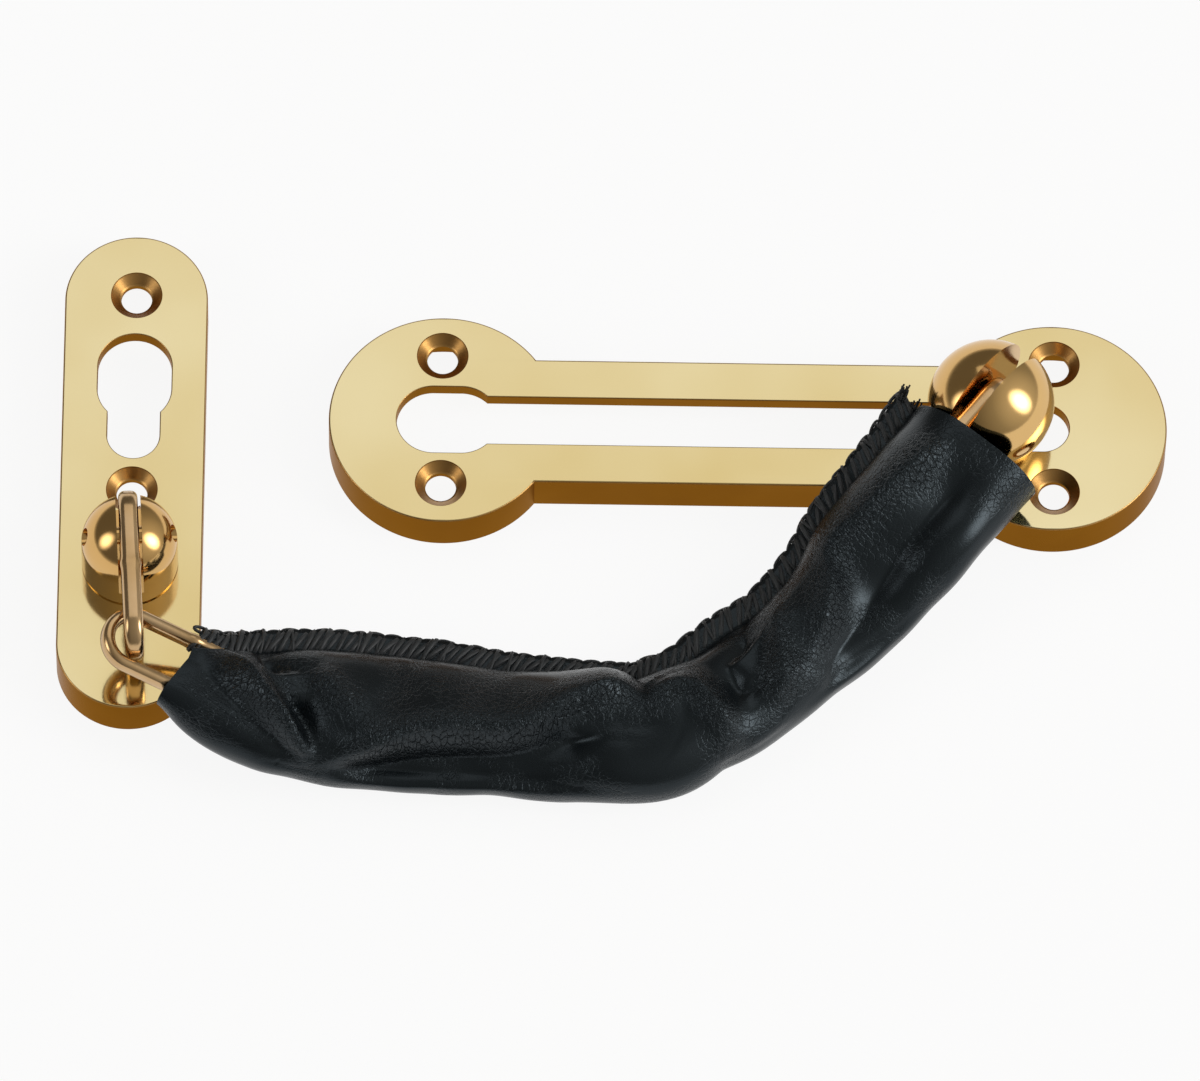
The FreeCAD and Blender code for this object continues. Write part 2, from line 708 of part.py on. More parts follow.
def tube_offsets(half_height, inset):
    """The tube's oval in TUBE_SIDES flats, inside its skin by the inset."""
    wide, tall = size("sleeve_half_width") - inset, half_height - inset
    turns = [2 * math.pi * (side + 0.5) / TUBE_SIDES for side in range(TUBE_SIDES)]
    return [(wide * math.cos(turn), tall * math.sin(turn)) for turn in turns]


def seam_offsets():
    """The two sewn layers beyond the tube, on its seam side."""
    inner = -(size("sleeve_half_width") - 2 * size("sleeve_wall"))
    outer = -(size("sleeve_half_width") + size("seam_reach"))
    half = size("seam_thick") / 2
    return [(inner, -half), (outer, -half), (outer, half), (inner, half)]


def make_sleeve_span(number):
    """The stretch of the sleeve that rides on one link, cut square to the turn at each end.

    Its own X runs level along the link from the link's middle, toward the post.
    """
    heading, pitch, near, far = layout.run[number]
    half_gap = size("span_gap") / 2
    tall = size("sleeve_half_height")
    start, end = -near * math.cos(pitch), far * math.cos(pitch)
    before = math.radians(size("heading_%d" % min(number + 1, LINKS[0][0])) - heading) / 2
    after = math.radians(size("heading_%d" % (number - 1)) - heading) / 2
    slope = math.tan(pitch)
    first, last = (start + half_gap, before, tall), (end - half_gap, after, tall)
    if number == LINKS[0][0]:
        stations = [(start + size("mouth_start"), 0.0, tall), last]
    elif number == STEEP_LINK:
        clear, mouth = start + size("mouth_clear"), start + size("mouth_end")
        low = size("mouth_half_height")
        first = (start + half_gap, before, size("pivot_half_height"))
        stations = [first, (clear, 0.0, low), (mouth, 0.0, low)]
    elif number == STEEP_LINK + 1:
        last = (end - half_gap, after, size("pivot_half_height"))
        stations = [first, (end - size("pinch_length"), 0.0, tall), last]
    else:
        stations = [first, (0.0, 0.0, tall), last]
    places = [(along, turn, slope) for along, turn, _ in stations]
    heights = [height for _, _, height in stations]
    wall = size("sleeve_wall")
    outside = skin([ring(spot, tube_offsets(tall, 0)) for spot, tall in zip(places, heights)])
    inside = skin([ring(spot, tube_offsets(tall, wall)) for spot, tall in zip(places, heights)])
    seam = skin([ring(spot, seam_offsets()) for spot in places])
    span = doc.addObject("Part::Feature", "leather_sleeve_%d" % number)
    span.Label = "leather_sleeve_%d" % number
    span.Shape = outside.fuse(seam).cut(inside)
    span.Placement = Placement(layout.placements[number].Base, Rotation(UP, heading))
    return span


# ---------------------------------------------------------------- the set

parts = []


def place(item, position, heading=0.0):
    """Set a sub-part's placement from its position and its heading about Z."""
    item.Placement = Placement(Vector(*position), Rotation(UP, heading))
    parts.append(item)


slide_spot = (size("slide_x"), size("slide_y"), 0)
knob_spot = (knob_joint.x, knob_joint.y, 0)
post_spot = (post_joint.x, post_joint.y, 0)
knob_heading = size("heading_9")
post_heading = size("heading_1")
knob_pin_half = "sqrt({knob_radius}^2 - {pin_radius}^2)"
pin_rise = "({post_pin_height} + {pin_radius} - {post_shoulder})"
post_pin_half = "sqrt({post_radius}^2 - %s^2)" % pin_rise

place(make_slide_plate(), slide_spot)
place(make_slider_knob(), knob_spot, knob_heading)
knob_pin = make_pin("slider_pin", "{plate_thick} + {knob_centre}", knob_pin_half)
place(knob_pin, knob_spot, knob_heading)
place(make_washer("slider_washer"), knob_spot, knob_heading)
place(make_screw("slider_screw"), knob_spot, knob_heading)

place(make_anchor_plate(), post_spot)
place(make_anchor_post(), post_spot, post_heading)
post_pin = make_pin("anchor_pin", "{plate_thick} + {post_pin_height}", post_pin_half)
place(post_pin, post_spot, post_heading)
place(make_washer("anchor_washer"), post_spot, post_heading)
place(make_screw("anchor_screw"), post_spot, post_heading)

for number, _, _ in LINKS:
    link = make_link("chain_link_%d" % number)
    link.Placement = layout.placements[number]
    parts.append(link)
for number, _, _ in LINKS[:-1]:
    parts.append(make_sleeve_span(number))

doc.recompute()
failed = [item.Name for item in doc.Objects if {"Invalid", "Error"} & set(item.State)]
failed += [item.Label for item in parts if item.Shape.isNull() or not item.Shape.isValid()]
if failed:
    raise RuntimeError("these did not build: " + ", ".join(failed))

os.makedirs("parts", exist_ok=True)
for item in parts:
    item.Shape.exportStep("parts/%s.step" % item.Label)
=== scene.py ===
import json
import math

import bmesh
import bpy
import numpy as np
from mathutils import Matrix, Vector
from mathutils.geometry import tessellate_polygon


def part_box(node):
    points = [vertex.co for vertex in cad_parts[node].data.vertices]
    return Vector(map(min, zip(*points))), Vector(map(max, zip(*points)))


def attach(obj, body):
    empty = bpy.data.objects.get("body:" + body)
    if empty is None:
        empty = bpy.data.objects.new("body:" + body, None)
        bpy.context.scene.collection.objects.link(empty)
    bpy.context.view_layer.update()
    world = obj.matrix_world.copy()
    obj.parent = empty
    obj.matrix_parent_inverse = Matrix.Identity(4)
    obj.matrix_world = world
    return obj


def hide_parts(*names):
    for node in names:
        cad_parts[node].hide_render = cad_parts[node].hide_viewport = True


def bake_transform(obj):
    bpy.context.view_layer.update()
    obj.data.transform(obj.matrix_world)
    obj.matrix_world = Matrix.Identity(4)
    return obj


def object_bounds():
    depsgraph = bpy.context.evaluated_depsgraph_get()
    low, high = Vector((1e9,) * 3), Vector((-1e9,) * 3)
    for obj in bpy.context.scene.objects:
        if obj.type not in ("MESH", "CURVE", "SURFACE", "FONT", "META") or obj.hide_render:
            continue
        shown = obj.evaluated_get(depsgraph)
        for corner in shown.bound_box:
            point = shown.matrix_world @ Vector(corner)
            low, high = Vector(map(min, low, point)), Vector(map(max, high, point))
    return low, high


# A door chain guard: two polished brass plates, a cleft knob and a cleft post, and a chain of
# nine links in a sewn sleeve of black imitation leather. Sizes here are in millimetres
# unless a name or comment says otherwise; every finished mesh is in metres.

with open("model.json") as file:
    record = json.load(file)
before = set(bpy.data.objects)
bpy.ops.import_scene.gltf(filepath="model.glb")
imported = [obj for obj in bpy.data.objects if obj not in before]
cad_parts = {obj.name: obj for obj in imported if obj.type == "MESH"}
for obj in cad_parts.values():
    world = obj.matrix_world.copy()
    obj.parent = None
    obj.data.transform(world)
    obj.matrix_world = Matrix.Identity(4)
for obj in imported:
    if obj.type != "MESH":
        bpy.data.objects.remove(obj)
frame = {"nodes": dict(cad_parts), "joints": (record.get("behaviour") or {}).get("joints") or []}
cad_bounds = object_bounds()
MM = 0.001
JOINTS = {joint["name"]: joint for joint in frame["joints"]}
UP = Vector((0, 0, 1))


def joint_spot(name):
    """A joint's place in millimetres."""
    return Vector(JOINTS[name]["pos_m"]) / MM


def node_middle(node):
    """The middle of a CAD node's box, in millimetres."""
    low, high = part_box(node)
    return (low + high) / 2 / MM


def on_base(spot):
    """A spot's place on the plane of the plates' backs."""
    return Vector((spot.x, spot.y, 0))


# ---------------- finishes


def linear(colour):
    """A hex sRGB colour as linear RGBA."""
    parts = [int(colour[i:i + 2], 16) / 255 for i in (1, 3, 5)]
    return tuple(c / 12.92 if c <= 0.04045 else ((c + 0.055) / 1.055) ** 2.4 for c in parts) + (1.0,)


def set_stops(elements, stops):
    """Set a colour ramp's stops, each a place and a hex colour or a grey."""
    while len(elements) < len(stops):
        elements.new(0.5)
    for element, (place, colour) in zip(elements, stops):
        element.position = place
        element.color = linear(colour) if isinstance(colour, str) else (colour, colour, colour, 1.0)


def feed(node, **inputs):
    """Set a node's inputs, each by its name or by _ and its number.

    An input gets a value, or a link from a socket or from another node's first output.
    """
    for key, value in inputs.items():
        place = int(key[1:]) if key[1:].isdigit() else key.replace("_", " ")
        if isinstance(value, bpy.types.Node):
            value = value.outputs[0]
        if isinstance(value, bpy.types.NodeSocket):
            node.id_data.links.new(value, node.inputs[place])
        else:
            node.inputs[place].default_value = value


def add(tree, kind, **parts):
    """A new node: its settings, which have names in small letters, then its inputs."""
    node = tree.nodes.new(kind)
    for key in [key for key in parts if key.islower()]:
        if key == "stops":
            set_stops(node.color_ramp.elements, parts.pop(key))
        else:
            setattr(node, key, parts.pop(key))
    feed(node, **parts)
    return node


def finish(name, colour, metallic, roughness, **more):
    """A new material whose shader has its even colour, metallic, roughness and more set."""
    material = bpy.data.materials.new(name)
    material.use_nodes = True
    shader = material.node_tree.nodes["Principled BSDF"]
    feed(shader, Base_Color=linear(colour), Metallic=metallic, Roughness=roughness, **more)
    return material, material.node_tree, shader


SCUFF_SIZE = 0.6


def metal(name, light, dark, roughness, wear, cloud=20, bump=0.02, edge="#ffffff"):
    """A polished metal: a slow drift of tone, fine polishing haze and hairline scuffs.

    Cloud is the size of its drift, and edge its tint at a grazing view.
    """
    material, tree, shader = finish(name, light, 1.0, roughness, Specular_Tint=linear(edge))
    place = add(tree, "ShaderNodeTexCoord").outputs["Object"]
    drift = add(tree, "ShaderNodeTexNoise", Vector=place, Scale=1 / (cloud * MM), Detail=3.0)
    tone = add(tree, "ShaderNodeValToRGB", stops=[(0.3, dark), (0.7, light)], Fac=drift)
    haze = add(tree, "ShaderNodeTexNoise", Vector=place, Scale=1 / (cloud * 0.35 * MM), Detail=6.0)
    rough = add(
        tree,
        "ShaderNodeMapRange",
        Value=haze,
        From_Min=0.3,
        From_Max=0.75,
        To_Min=roughness,
        To_Max=roughness + wear,
    )
    fine = add(tree, "ShaderNodeTexNoise", Vector=place, Scale=1 / (SCUFF_SIZE * MM), Detail=2.0)
    relief = add(tree, "ShaderNodeBump", Height=fine, Strength=bump, Distance=0.1 * MM)
    feed(shader, Base_Color=tone, Roughness=rough, Normal=relief)
    return material


# mirror-polished and lacquered cast brass: pale and almost free of texture
plate_face = metal("polished lacquered brass", "#eedfb0", "#dfc88c", 0.07, 0.04, cloud=50)
# the castings' sides: rougher than the faces, and painted a deep brown gold as shade that darkens the
# sides against the faces
side_brass_painted_shade = metal(
    "brass sides with painted shade", "#87591f", "#774b17", 0.26, 0.1, cloud=30, bump=0.05, edge="#ead2b8"
)
# the countersinks: duller than the faces, as the tool leaves them, and painted browner as shade on the
# cones
countersink_brass_painted_shade = metal("countersink brass with painted shade", "#b98f56", "#a67c44", 0.3, 0.1, cloud=10, bump=0.1)
# turned brass under a warm lacquer: the knob and the post, richer than the plates
turned_brass = metal("turned lacquered brass", "#dcb578", "#d0a566", 0.1, 0.05)
# drawn wire, bent and welded, then plated with the rest
wire_brass = metal("brass plated wire", "#d0b189", "#bd9a6a", 0.16, 0.08, cloud=10, bump=0.05)
# zinc plating on the washers and screws behind the webs: cool, soft gloss
zinc = metal("zinc plated steel", "#b9bab8", "#9ea09f", 0.28, 0.15, cloud=6, bump=0.08)


def make_sleeve_leather():
    """Polyurethane-faced cloth, soft and near black: fine grain, and crazed where it creases.

    Its coordinates are millimetres along the sleeve and round it.
    """
    shine = {"Specular_IOR_Level": 0.4, "Specular_Tint": linear("#d8eaf4")}
    material, tree, shader = finish("black imitation leather", "#090c0f", 0.0, 0.3, **shine)
    uv = add(tree, "ShaderNodeTexCoord").outputs["UV"]
    worn = add(tree, "ShaderNodeAttribute", attribute_name="worn").outputs["Fac"]
    patches = add(tree, "ShaderNodeTexNoise", Vector=uv, Scale=0.11, Detail=2.0)
    patchy = add(tree, "ShaderNodeValToRGB", stops=[(0.45, 0.04), (0.7, 0.55)], Fac=patches)
    crazed = add(tree, "ShaderNodeMath", operation="ADD", use_clamp=True, _0=worn, _1=patchy)

    # cracks round wandering cells, about 1 mm and 0.5 mm across
    wander = add(tree, "ShaderNodeTexNoise", Vector=uv, Scale=0.7, Detail=4.0).outputs["Color"]
    shifted = add(tree, "ShaderNodeVectorMath", operation="ADD", _0=wander, _1=uv)
    cracked = []
    for scale, width in ((1.0, 0.11), (2.0, 0.14)):
        cells = add(
            tree, "ShaderNodeTexVoronoi", feature="DISTANCE_TO_EDGE", Vector=shifted, Scale=scale
        )
        walls = add(tree, "ShaderNodeValToRGB", stops=[(0.0, 0.0), (width, 1.0)], Fac=cells)
        cracked.append(add(tree, "ShaderNodeMix", Factor=crazed, _2=1.0, _3=walls))
    coarse, fine = cracked

    pebble = add(tree, "ShaderNodeTexNoise", Vector=uv, Scale=2.6, Detail=4.0, Roughness=0.6)
    deep = add(tree, "ShaderNodeBump", Height=coarse, Strength=0.7, Distance=0.18 * MM)
    middle = add(tree, "ShaderNodeBump", Height=fine, Strength=0.5, Distance=0.09 * MM, Normal=deep)
    soft = add(tree, "ShaderNodeBump", Height=pebble, Strength=0.08, Distance=0.05 * MM, Normal=middle)
    in_cracks, between = linear("#030405"), linear("#0b0f12")
    tone = add(tree, "ShaderNodeMix", data_type="RGBA", Factor=coarse, _6=in_cracks, _7=between)
    gloss = add(tree, "ShaderNodeMix", Factor=pebble, _2=0.21, _3=0.32)
    feed(shader, Base_Color=tone.outputs[2], Roughness=gloss, Normal=soft)
    return material


sleeve_leather = make_sleeve_leather()


def make_thread():
    """Spun polyester overlock thread: matt black, with fine lint."""
    material, tree, shader = finish("black overlock thread", "#0f1214", 0.0, 0.5, Sheen_Weight=0.15)
    place = add(tree, "ShaderNodeTexCoord").outputs["Object"]
    lint = add(tree, "ShaderNodeTexNoise", Vector=place, Scale=4000.0, Detail=3.0)
    stops = [(0.3, "#0e1113"), (0.75, "#23282c")]
    tone = add(tree, "ShaderNodeValToRGB", stops=stops, Fac=lint)
    relief = add(tree, "ShaderNodeBump", Height=lint, Strength=0.5, Distance=0.1 * MM)
    feed(shader, Base_Color=tone, Normal=relief)
    return material


thread = make_thread()

# ---------------- mesh helpers


def show(name, data):
    """A new object in the scene for a mesh, curve, light or camera."""
    thing = bpy.data.objects.new(name, data)
    bpy.context.scene.collection.objects.link(thing)
    return thing


def new_piece(name, points, faces, materials, at=(0, 0, 0)):
    """A smooth mesh object from points in millimetres."""
    mesh = bpy.data.meshes.new(name)
    mesh.from_pydata([(Vector(at) + Vector(p)) * MM for p in points], [], faces)
    for material in materials:
        mesh.materials.append(material)
    mesh.shade_smooth()
    mesh.update()
    return show(name, mesh)


def plain_mesh(thing):
    """The mesh that an object's modifiers make."""
    return bpy.data.meshes.new_from_object(thing.evaluated_get(bpy.context.evaluated_depsgraph_get()))


def tidy_mesh(piece):
    """Join doubled points and turn every face outward."""
    mesh = bmesh.new()
    mesh.from_mesh(piece.data)
    bmesh.ops.remove_doubles(mesh, verts=mesh.verts, dist=0.002 * MM)
    bmesh.ops.recalc_face_normals(mesh, faces=mesh.faces)
    mesh.to_mesh(piece.data)
    mesh.free()


GENTLE_TURN = math.radians(35)


def settle_normals(piece):
    """Shade each corner with the area-weighted normals of the faces that it turns gently into.

    Large flats keep their own normal up to the small rounds on their rims.
    """
    mesh = piece.data
    mesh.update()
    normals = np.array([face.normal for face in mesh.polygons])
    areas = [face.area for face in mesh.polygons]
    around = [[] for _ in mesh.vertices]
    for face in mesh.polygons:
        for vertex in face.vertices:
            around[vertex].append(face.index)
    corners = [None] * len(mesh.loops)
    for face in mesh.polygons:
        own = normals[face.index]
        for loop, vertex in zip(face.loop_indices, face.vertices):
            near = [f for f in around[vertex] if normals[f] @ own > math.cos(GENTLE_TURN)]
            blend = sum(normals[f] * areas[f] for f in near)
            size = np.linalg.norm(blend)
            corners[loop] = tuple(blend / size) if size > 0 else tuple(own)
    mesh.normals_split_custom_set(corners)


def arc(x, y, radius, start, end, steps):
    """Points on an arc, both ends among them; angles in degrees."""
    turns = [math.radians(start + (end - start) * i / steps) for i in range(steps + 1)]
    return [(x + radius * math.cos(t), y + radius * math.sin(t)) for t in turns]


def ring(x, y, radius, count):
    """Points round a whole circle."""
    return arc(x, y, radius, 0, 360 * (count - 1) / count, count - 1)


def stack(points, faces, levels):
    """Add closed loops of as many points each, with quads between them; gives their numbers.

    A level is a flat loop and its height.
    """
    rows = []
    for loop, height in levels:
        rows.append(list(range(len(points), len(points) + len(loop))))
        points += [(x, y, height) for x, y in loop]
    for one, two in zip(rows, rows[1:]):
        for i in range(len(one)):
            j = (i + 1) % len(one)
            faces.append((one[i], one[j], two[j], two[i]))
    return rows


# ---------------- plates

PLATE_THICK = 8.5
WEB_UNDER = 5.9
WALL = 2.2
# rounds on a plate's face, at its holes and at its back
RIM, HOLE_RIM, BACK_RIM = 0.32, 0.22, 0.25
RIM_STEPS = 4
# radii of a screw's hole and cone, and half widths of a slot's wide and narrow parts
SCREW_HOLE, COUNTERSINK = 2.65, 4.35
ENTRY, SLOT = 6.35, 4.5
POST_HOLE = 5.05
HOLE_POINTS = 128


def levels_down(rim):
    """A quarter round from a face's rim: how far in from the wall, and how far down."""
    turns = [math.pi / 2 * i / RIM_STEPS for i in range(RIM_STEPS + 1)]
    return [(rim * (1 - math.sin(t)), rim * (1 - math.cos(t))) for t in turns]


def casting(name, outline, holes, at):
    """An open-backed plate: a rounded rim, side walls, a web and holes through it.

    The outline is a function from an offset to a closed loop, and a hole is its levels.
    """
    points, faces = [], []
    rim = [(outline(-inward), PLATE_THICK - down) for inward, down in levels_down(RIM)]
    outer = stack(points, faces, rim + [(outline(0), BACK_RIM), (outline(-BACK_RIM), 0.0)])
    back = [(outline(-BACK_RIM), 0.0), (outline(-WALL), 0.0), (outline(-WALL), WEB_UNDER)]
    inner = stack(points, faces, back)
    tops, unders = [outer[0]], [inner[-1]]
    for hole in holes:
        rows = stack(points, faces, hole)
        tops.append(rows[0])
        unders.append(rows[-1])
    for rows in (tops, unders):
        flat = tessellate_polygon([[Vector(points[i]) for i in row] for row in rows])
        every = [i for row in rows for i in row]
        faces += [tuple(every[i] for i in triangle) for triangle in flat]
    piece = new_piece(name, points, faces, [plate_face, side_brass_painted_shade, countersink_brass_painted_shade], at)
    tidy_mesh(piece)
    for face in piece.data.polygons:
        # 1 on the faces, 0 on the sides, and between them on the countersinks' cones; the sides and cones
        # take the brasses painted darker as shade
        level = abs(face.normal.z)
        face.material_index = 0 if level > 0.9 else 1 if level < 0.5 else 2
    settle_normals(piece)
    return piece


def plain_hole(shape):
    """Levels of a hole with a small round at the face."""
    rim = [(shape(inward), PLATE_THICK - down) for inward, down in levels_down(HOLE_RIM)]
    return rim + [(shape(0.0), WEB_UNDER)]


def countersunk(x, y):
    """Levels of a screw hole: a small round, the 90 degree cone with turned rings, the hole."""
    rim = COUNTERSINK + 0.1
    rings = [(rim, PLATE_THICK), (rim - 0.06, PLATE_THICK - 0.03)]
    steps = 14
    drop = COUNTERSINK - SCREW_HOLE
    for i in range(1, steps):
        down = drop * i / steps
        ridge = 0.012 if i % 2 else -0.008
        rings.append((rim - down + ridge, PLATE_THICK - down))
    rings += [(SCREW_HOLE, PLATE_THICK - drop), (SCREW_HOLE, WEB_UNDER)]
    return [(ring(x, y, radius, HOLE_POINTS), height) for radius, height in rings]


def slide_outline(offset):
    """Two discs joined by a bar, grown by the offset."""
    reach, disc, bar = 52.3, 19.7 + offset, 11.8 + offset
    bite = math.degrees(math.asin(bar / disc))
    right = arc(reach, 0, disc, -180 + bite, 180 - bite, 150)
    left = arc(-reach, 0, disc, bite, 360 - bite, 150)
    return right + left


def slide_slot(offset):
    """The wide entry and the narrow slot in one loop."""
    wide, narrow = ENTRY + offset, SLOT + offset
    entry_start, entry_end, slot_end = -54.0, -49.3, 50.7
    bite = math.degrees(math.asin(narrow / wide))
    loop = arc(entry_start, 0, wide, 90, 270, 64) + arc(entry_end, 0, wide, -90, -bite, 20)[1:]
    return loop + arc(slot_end, 0, narrow, -90, 90, 64) + arc(entry_end, 0, wide, bite, 90, 20)[:-1]


# the anchor plate's sizes, up it from the post and down it from its top
ANCHOR_TOP = 62.9
ANCHOR_LENGTH = 90.8
ANCHOR_HALF = 12.3
ANCHOR_SCREWS = (11.4, 49.0)


def anchor_outline(offset):
    """A stadium up the anchor plate."""
    high = ANCHOR_TOP - ANCHOR_HALF
    low = ANCHOR_TOP - ANCHOR_LENGTH + ANCHOR_HALF
    radius = ANCHOR_HALF + offset
    return arc(0, high, radius, 0, 180, 120) + arc(0, low, radius, 180, 360, 120)


def parking_slot(offset):
    """The keyhole that the knob is parked in: wide above, narrow below."""
    wide, narrow = ENTRY + offset, SLOT + offset
    bite = math.degrees(math.asin(narrow / wide))
    high, step, low = ANCHOR_TOP - 25.3, ANCHOR_TOP - 29.4, ANCHOR_TOP - 38.4
    loop = arc(0, high, wide, 0, 180, 64) + arc(0, step, wide, 180, 270 - bite, 20)
    return loop + arc(0, low, narrow, 180, 360, 64) + arc(0, step, wide, -90 + bite, 0, 20)


def post_hole(offset):
    """The round hole that the post's neck turns in."""
    return ring(0, 0, POST_HOLE + offset, HOLE_POINTS)


slide_at = on_base(node_middle("slide_plate"))
slide_screws = [countersunk(x, y) for x in (-52.6, 52.6) for y in (-12.3, 12.3)]
slide_holes = [plain_hole(slide_slot)] + slide_screws
slide_plate = casting("slide_plate_dressed", slide_outline, slide_holes, slide_at)
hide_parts("slide_plate")
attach(slide_plate, "slide_plate")

post_at = on_base(joint_spot("anchor_swivel"))
anchor_screws = [countersunk(0, ANCHOR_TOP - down) for down in ANCHOR_SCREWS]
anchor_holes = [plain_hole(parking_slot), plain_hole(post_hole)] + anchor_screws
anchor_plate = casting("anchor_plate_dressed", anchor_outline, anchor_holes, post_at)
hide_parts("anchor_plate")
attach(anchor_plate, "anchor")

# ---------------- knob and post

TURNED_POINTS = 128
CLEFT_WIDTH = 4.3
PIN_BORE = 1.52
EDGE_ROUND = 0.28
CUT_REACH = 20


def cutter(name, loop, low, high):
    """A flat loop drawn out between two heights, to cut with."""
    points, faces = [], []
    bottom, top = stack(points, faces, [(loop, low), (loop, high)])
    faces += [tuple(bottom), tuple(reversed(top))]
    solid = new_piece(name, points, faces, [])
    tidy_mesh(solid)
    return solid


def turned(name, profile, at, heading, cleft_floor, pin_height):
    """A turned solid from its half profile, sawn for the chain and bored for its pin."""
    points, faces = [], []
    stack(points, faces, [(ring(0, 0, radius, TURNED_POINTS), height) for radius, height in profile])
    body = new_piece(name, points, faces, [turned_brass])
    tidy_mesh(body)
    reach, half = CUT_REACH, CLEFT_WIDTH / 2
    sawn = [(-reach, -half), (reach, -half), (reach, half), (-reach, half)]
    cleft = cutter(name + "_cleft", sawn, cleft_floor, cleft_floor + 2 * reach)
    # the bore is drawn upright, then laid along Y
    bore = cutter(name + "_bore", ring(0, -pin_height, PIN_BORE, 48), -reach, reach)
    bore.data.transform(Matrix.Rotation(-math.pi / 2, 4, "X"))
    for tool in (cleft, bore):
        cut = body.modifiers.new("cut", "BOOLEAN")
        cut.operation = "DIFFERENCE"
        cut.solver = "EXACT"
        cut.object = tool
    edge = body.modifiers.new("edge", "BEVEL")
    edge.width = EDGE_ROUND * MM
    edge.segments = 3
    edge.limit_method = "ANGLE"
    edge.angle_limit = GENTLE_TURN
    finished = plain_mesh(body)
    body.modifiers.clear()
    body.data = finished
    for tool in (cleft, bore):
        bpy.data.objects.remove(tool)
    body.data.transform(Matrix.Translation(Vector(at) * MM) @ Matrix.Rotation(heading, 4, "Z"))
    body.data.shade_smooth()
    settle_normals(body)
    return body


# both necks pass through the web, and both feet stand just clear of the plates
NECK_LOW = WEB_UNDER - 0.1
FOOT = PLATE_THICK + 0.1

knob_at = on_base(joint_spot("knob_swivel"))
link_9_way = joint_spot("link_8_turn") - joint_spot("knob_pin_tilt")
knob_heading = math.atan2(link_9_way.y, link_9_way.x)
KNOB_RADIUS = 10.9
KNOB_NECK = 4.2
KNOB_CENTRE = PLATE_THICK + 9.0
foot_angle = math.degrees(math.asin((FOOT - KNOB_CENTRE) / KNOB_RADIUS))
ball = arc(0, KNOB_CENTRE, KNOB_RADIUS, foot_angle, 90, 64)
knob_profile = [(0, NECK_LOW), (KNOB_NECK, NECK_LOW), (KNOB_NECK, FOOT)] + ball
knob = turned(
    "slider_knob_dressed", knob_profile, knob_at, knob_heading, PLATE_THICK + 2.2, KNOB_CENTRE
)
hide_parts("slider_knob")
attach(knob, "knob")

post_way = Vector(JOINTS["post_slide"]["axis"])
post_heading = math.atan2(post_way.y, post_way.x)
POST_RADIUS = 8.25
POST_NECK = 5.0
SHOULDER = PLATE_THICK + 7.3
chamfer = [(POST_RADIUS - 0.3, FOOT), (POST_RADIUS, FOOT + 0.3)]
dome = arc(0, SHOULDER, POST_RADIUS, 0, 90, 48)
post_profile = [(0, NECK_LOW), (POST_NECK, NECK_LOW), (POST_NECK, FOOT)] + chamfer + dome
post = turned(
    "anchor_post_dressed", post_profile, post_at, post_heading, PLATE_THICK + 3.9, PLATE_THICK + 10.0
)
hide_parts("anchor_post")
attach(post, "post")

for name in ("slider_pin", "slider_washer", "slider_screw", "anchor_pin", "anchor_washer", "anchor_screw"):
    for slot in frame["nodes"][name].material_slots:
        slot.material = turned_brass if name.endswith("_pin") else zinc

# ---------------- chain links

LINK_LENGTH = 31.2
LINK_WIDTH = 11.5
WIRE_WIDTH = 2.24
WIRE_HEIGHT = 3.32
LINK_VALUES = {
    "Length": LINK_LENGTH * MM,
    "Width": LINK_WIDTH * MM,
    "Wire Width": WIRE_WIDTH * MM,
    "Wire Height": WIRE_HEIGHT * MM,
    "Weld Swell": 0.12,
    "Weld Length": 0.9 * MM,
    "Finish": wire_brass,
}
SOCKETS = {float: "NodeSocketFloat", int: "NodeSocketInt", bpy.types.Material: "NodeSocketMaterial"}


def geometry_tree(name, values):
    """A geometry node tree with an input for each value, its inputs' sockets and output node."""
    tree = bpy.data.node_groups.new(name, "GeometryNodeTree")
    for way in ("OUTPUT", "INPUT"):
        tree.interface.new_socket("Geometry", in_out=way, socket_type="NodeSocketGeometry")
    for label, value in values.items():
        tree.interface.new_socket(label, in_out="INPUT", socket_type=SOCKETS[type(value)])
    return tree, add(tree, "NodeGroupInput").outputs, add(tree, "NodeGroupOutput")


def grow(name, tree, values, base=None):
    """Run a geometry tree on a base and keep the plain mesh that it makes.

    The tree's inputs get their values by their sockets' identifiers.
    """
    maker = show(name, base or bpy.data.meshes.new(name))
    modifier = maker.modifiers.new("grow", "NODES")
    modifier.node_group = tree
    for item in tree.interface.items_tree:
        if item.name in values:
            modifier[item.identifier] = values[item.name]
    grown = plain_mesh(maker)
    bpy.data.objects.remove(maker)
    return show(name, grown)


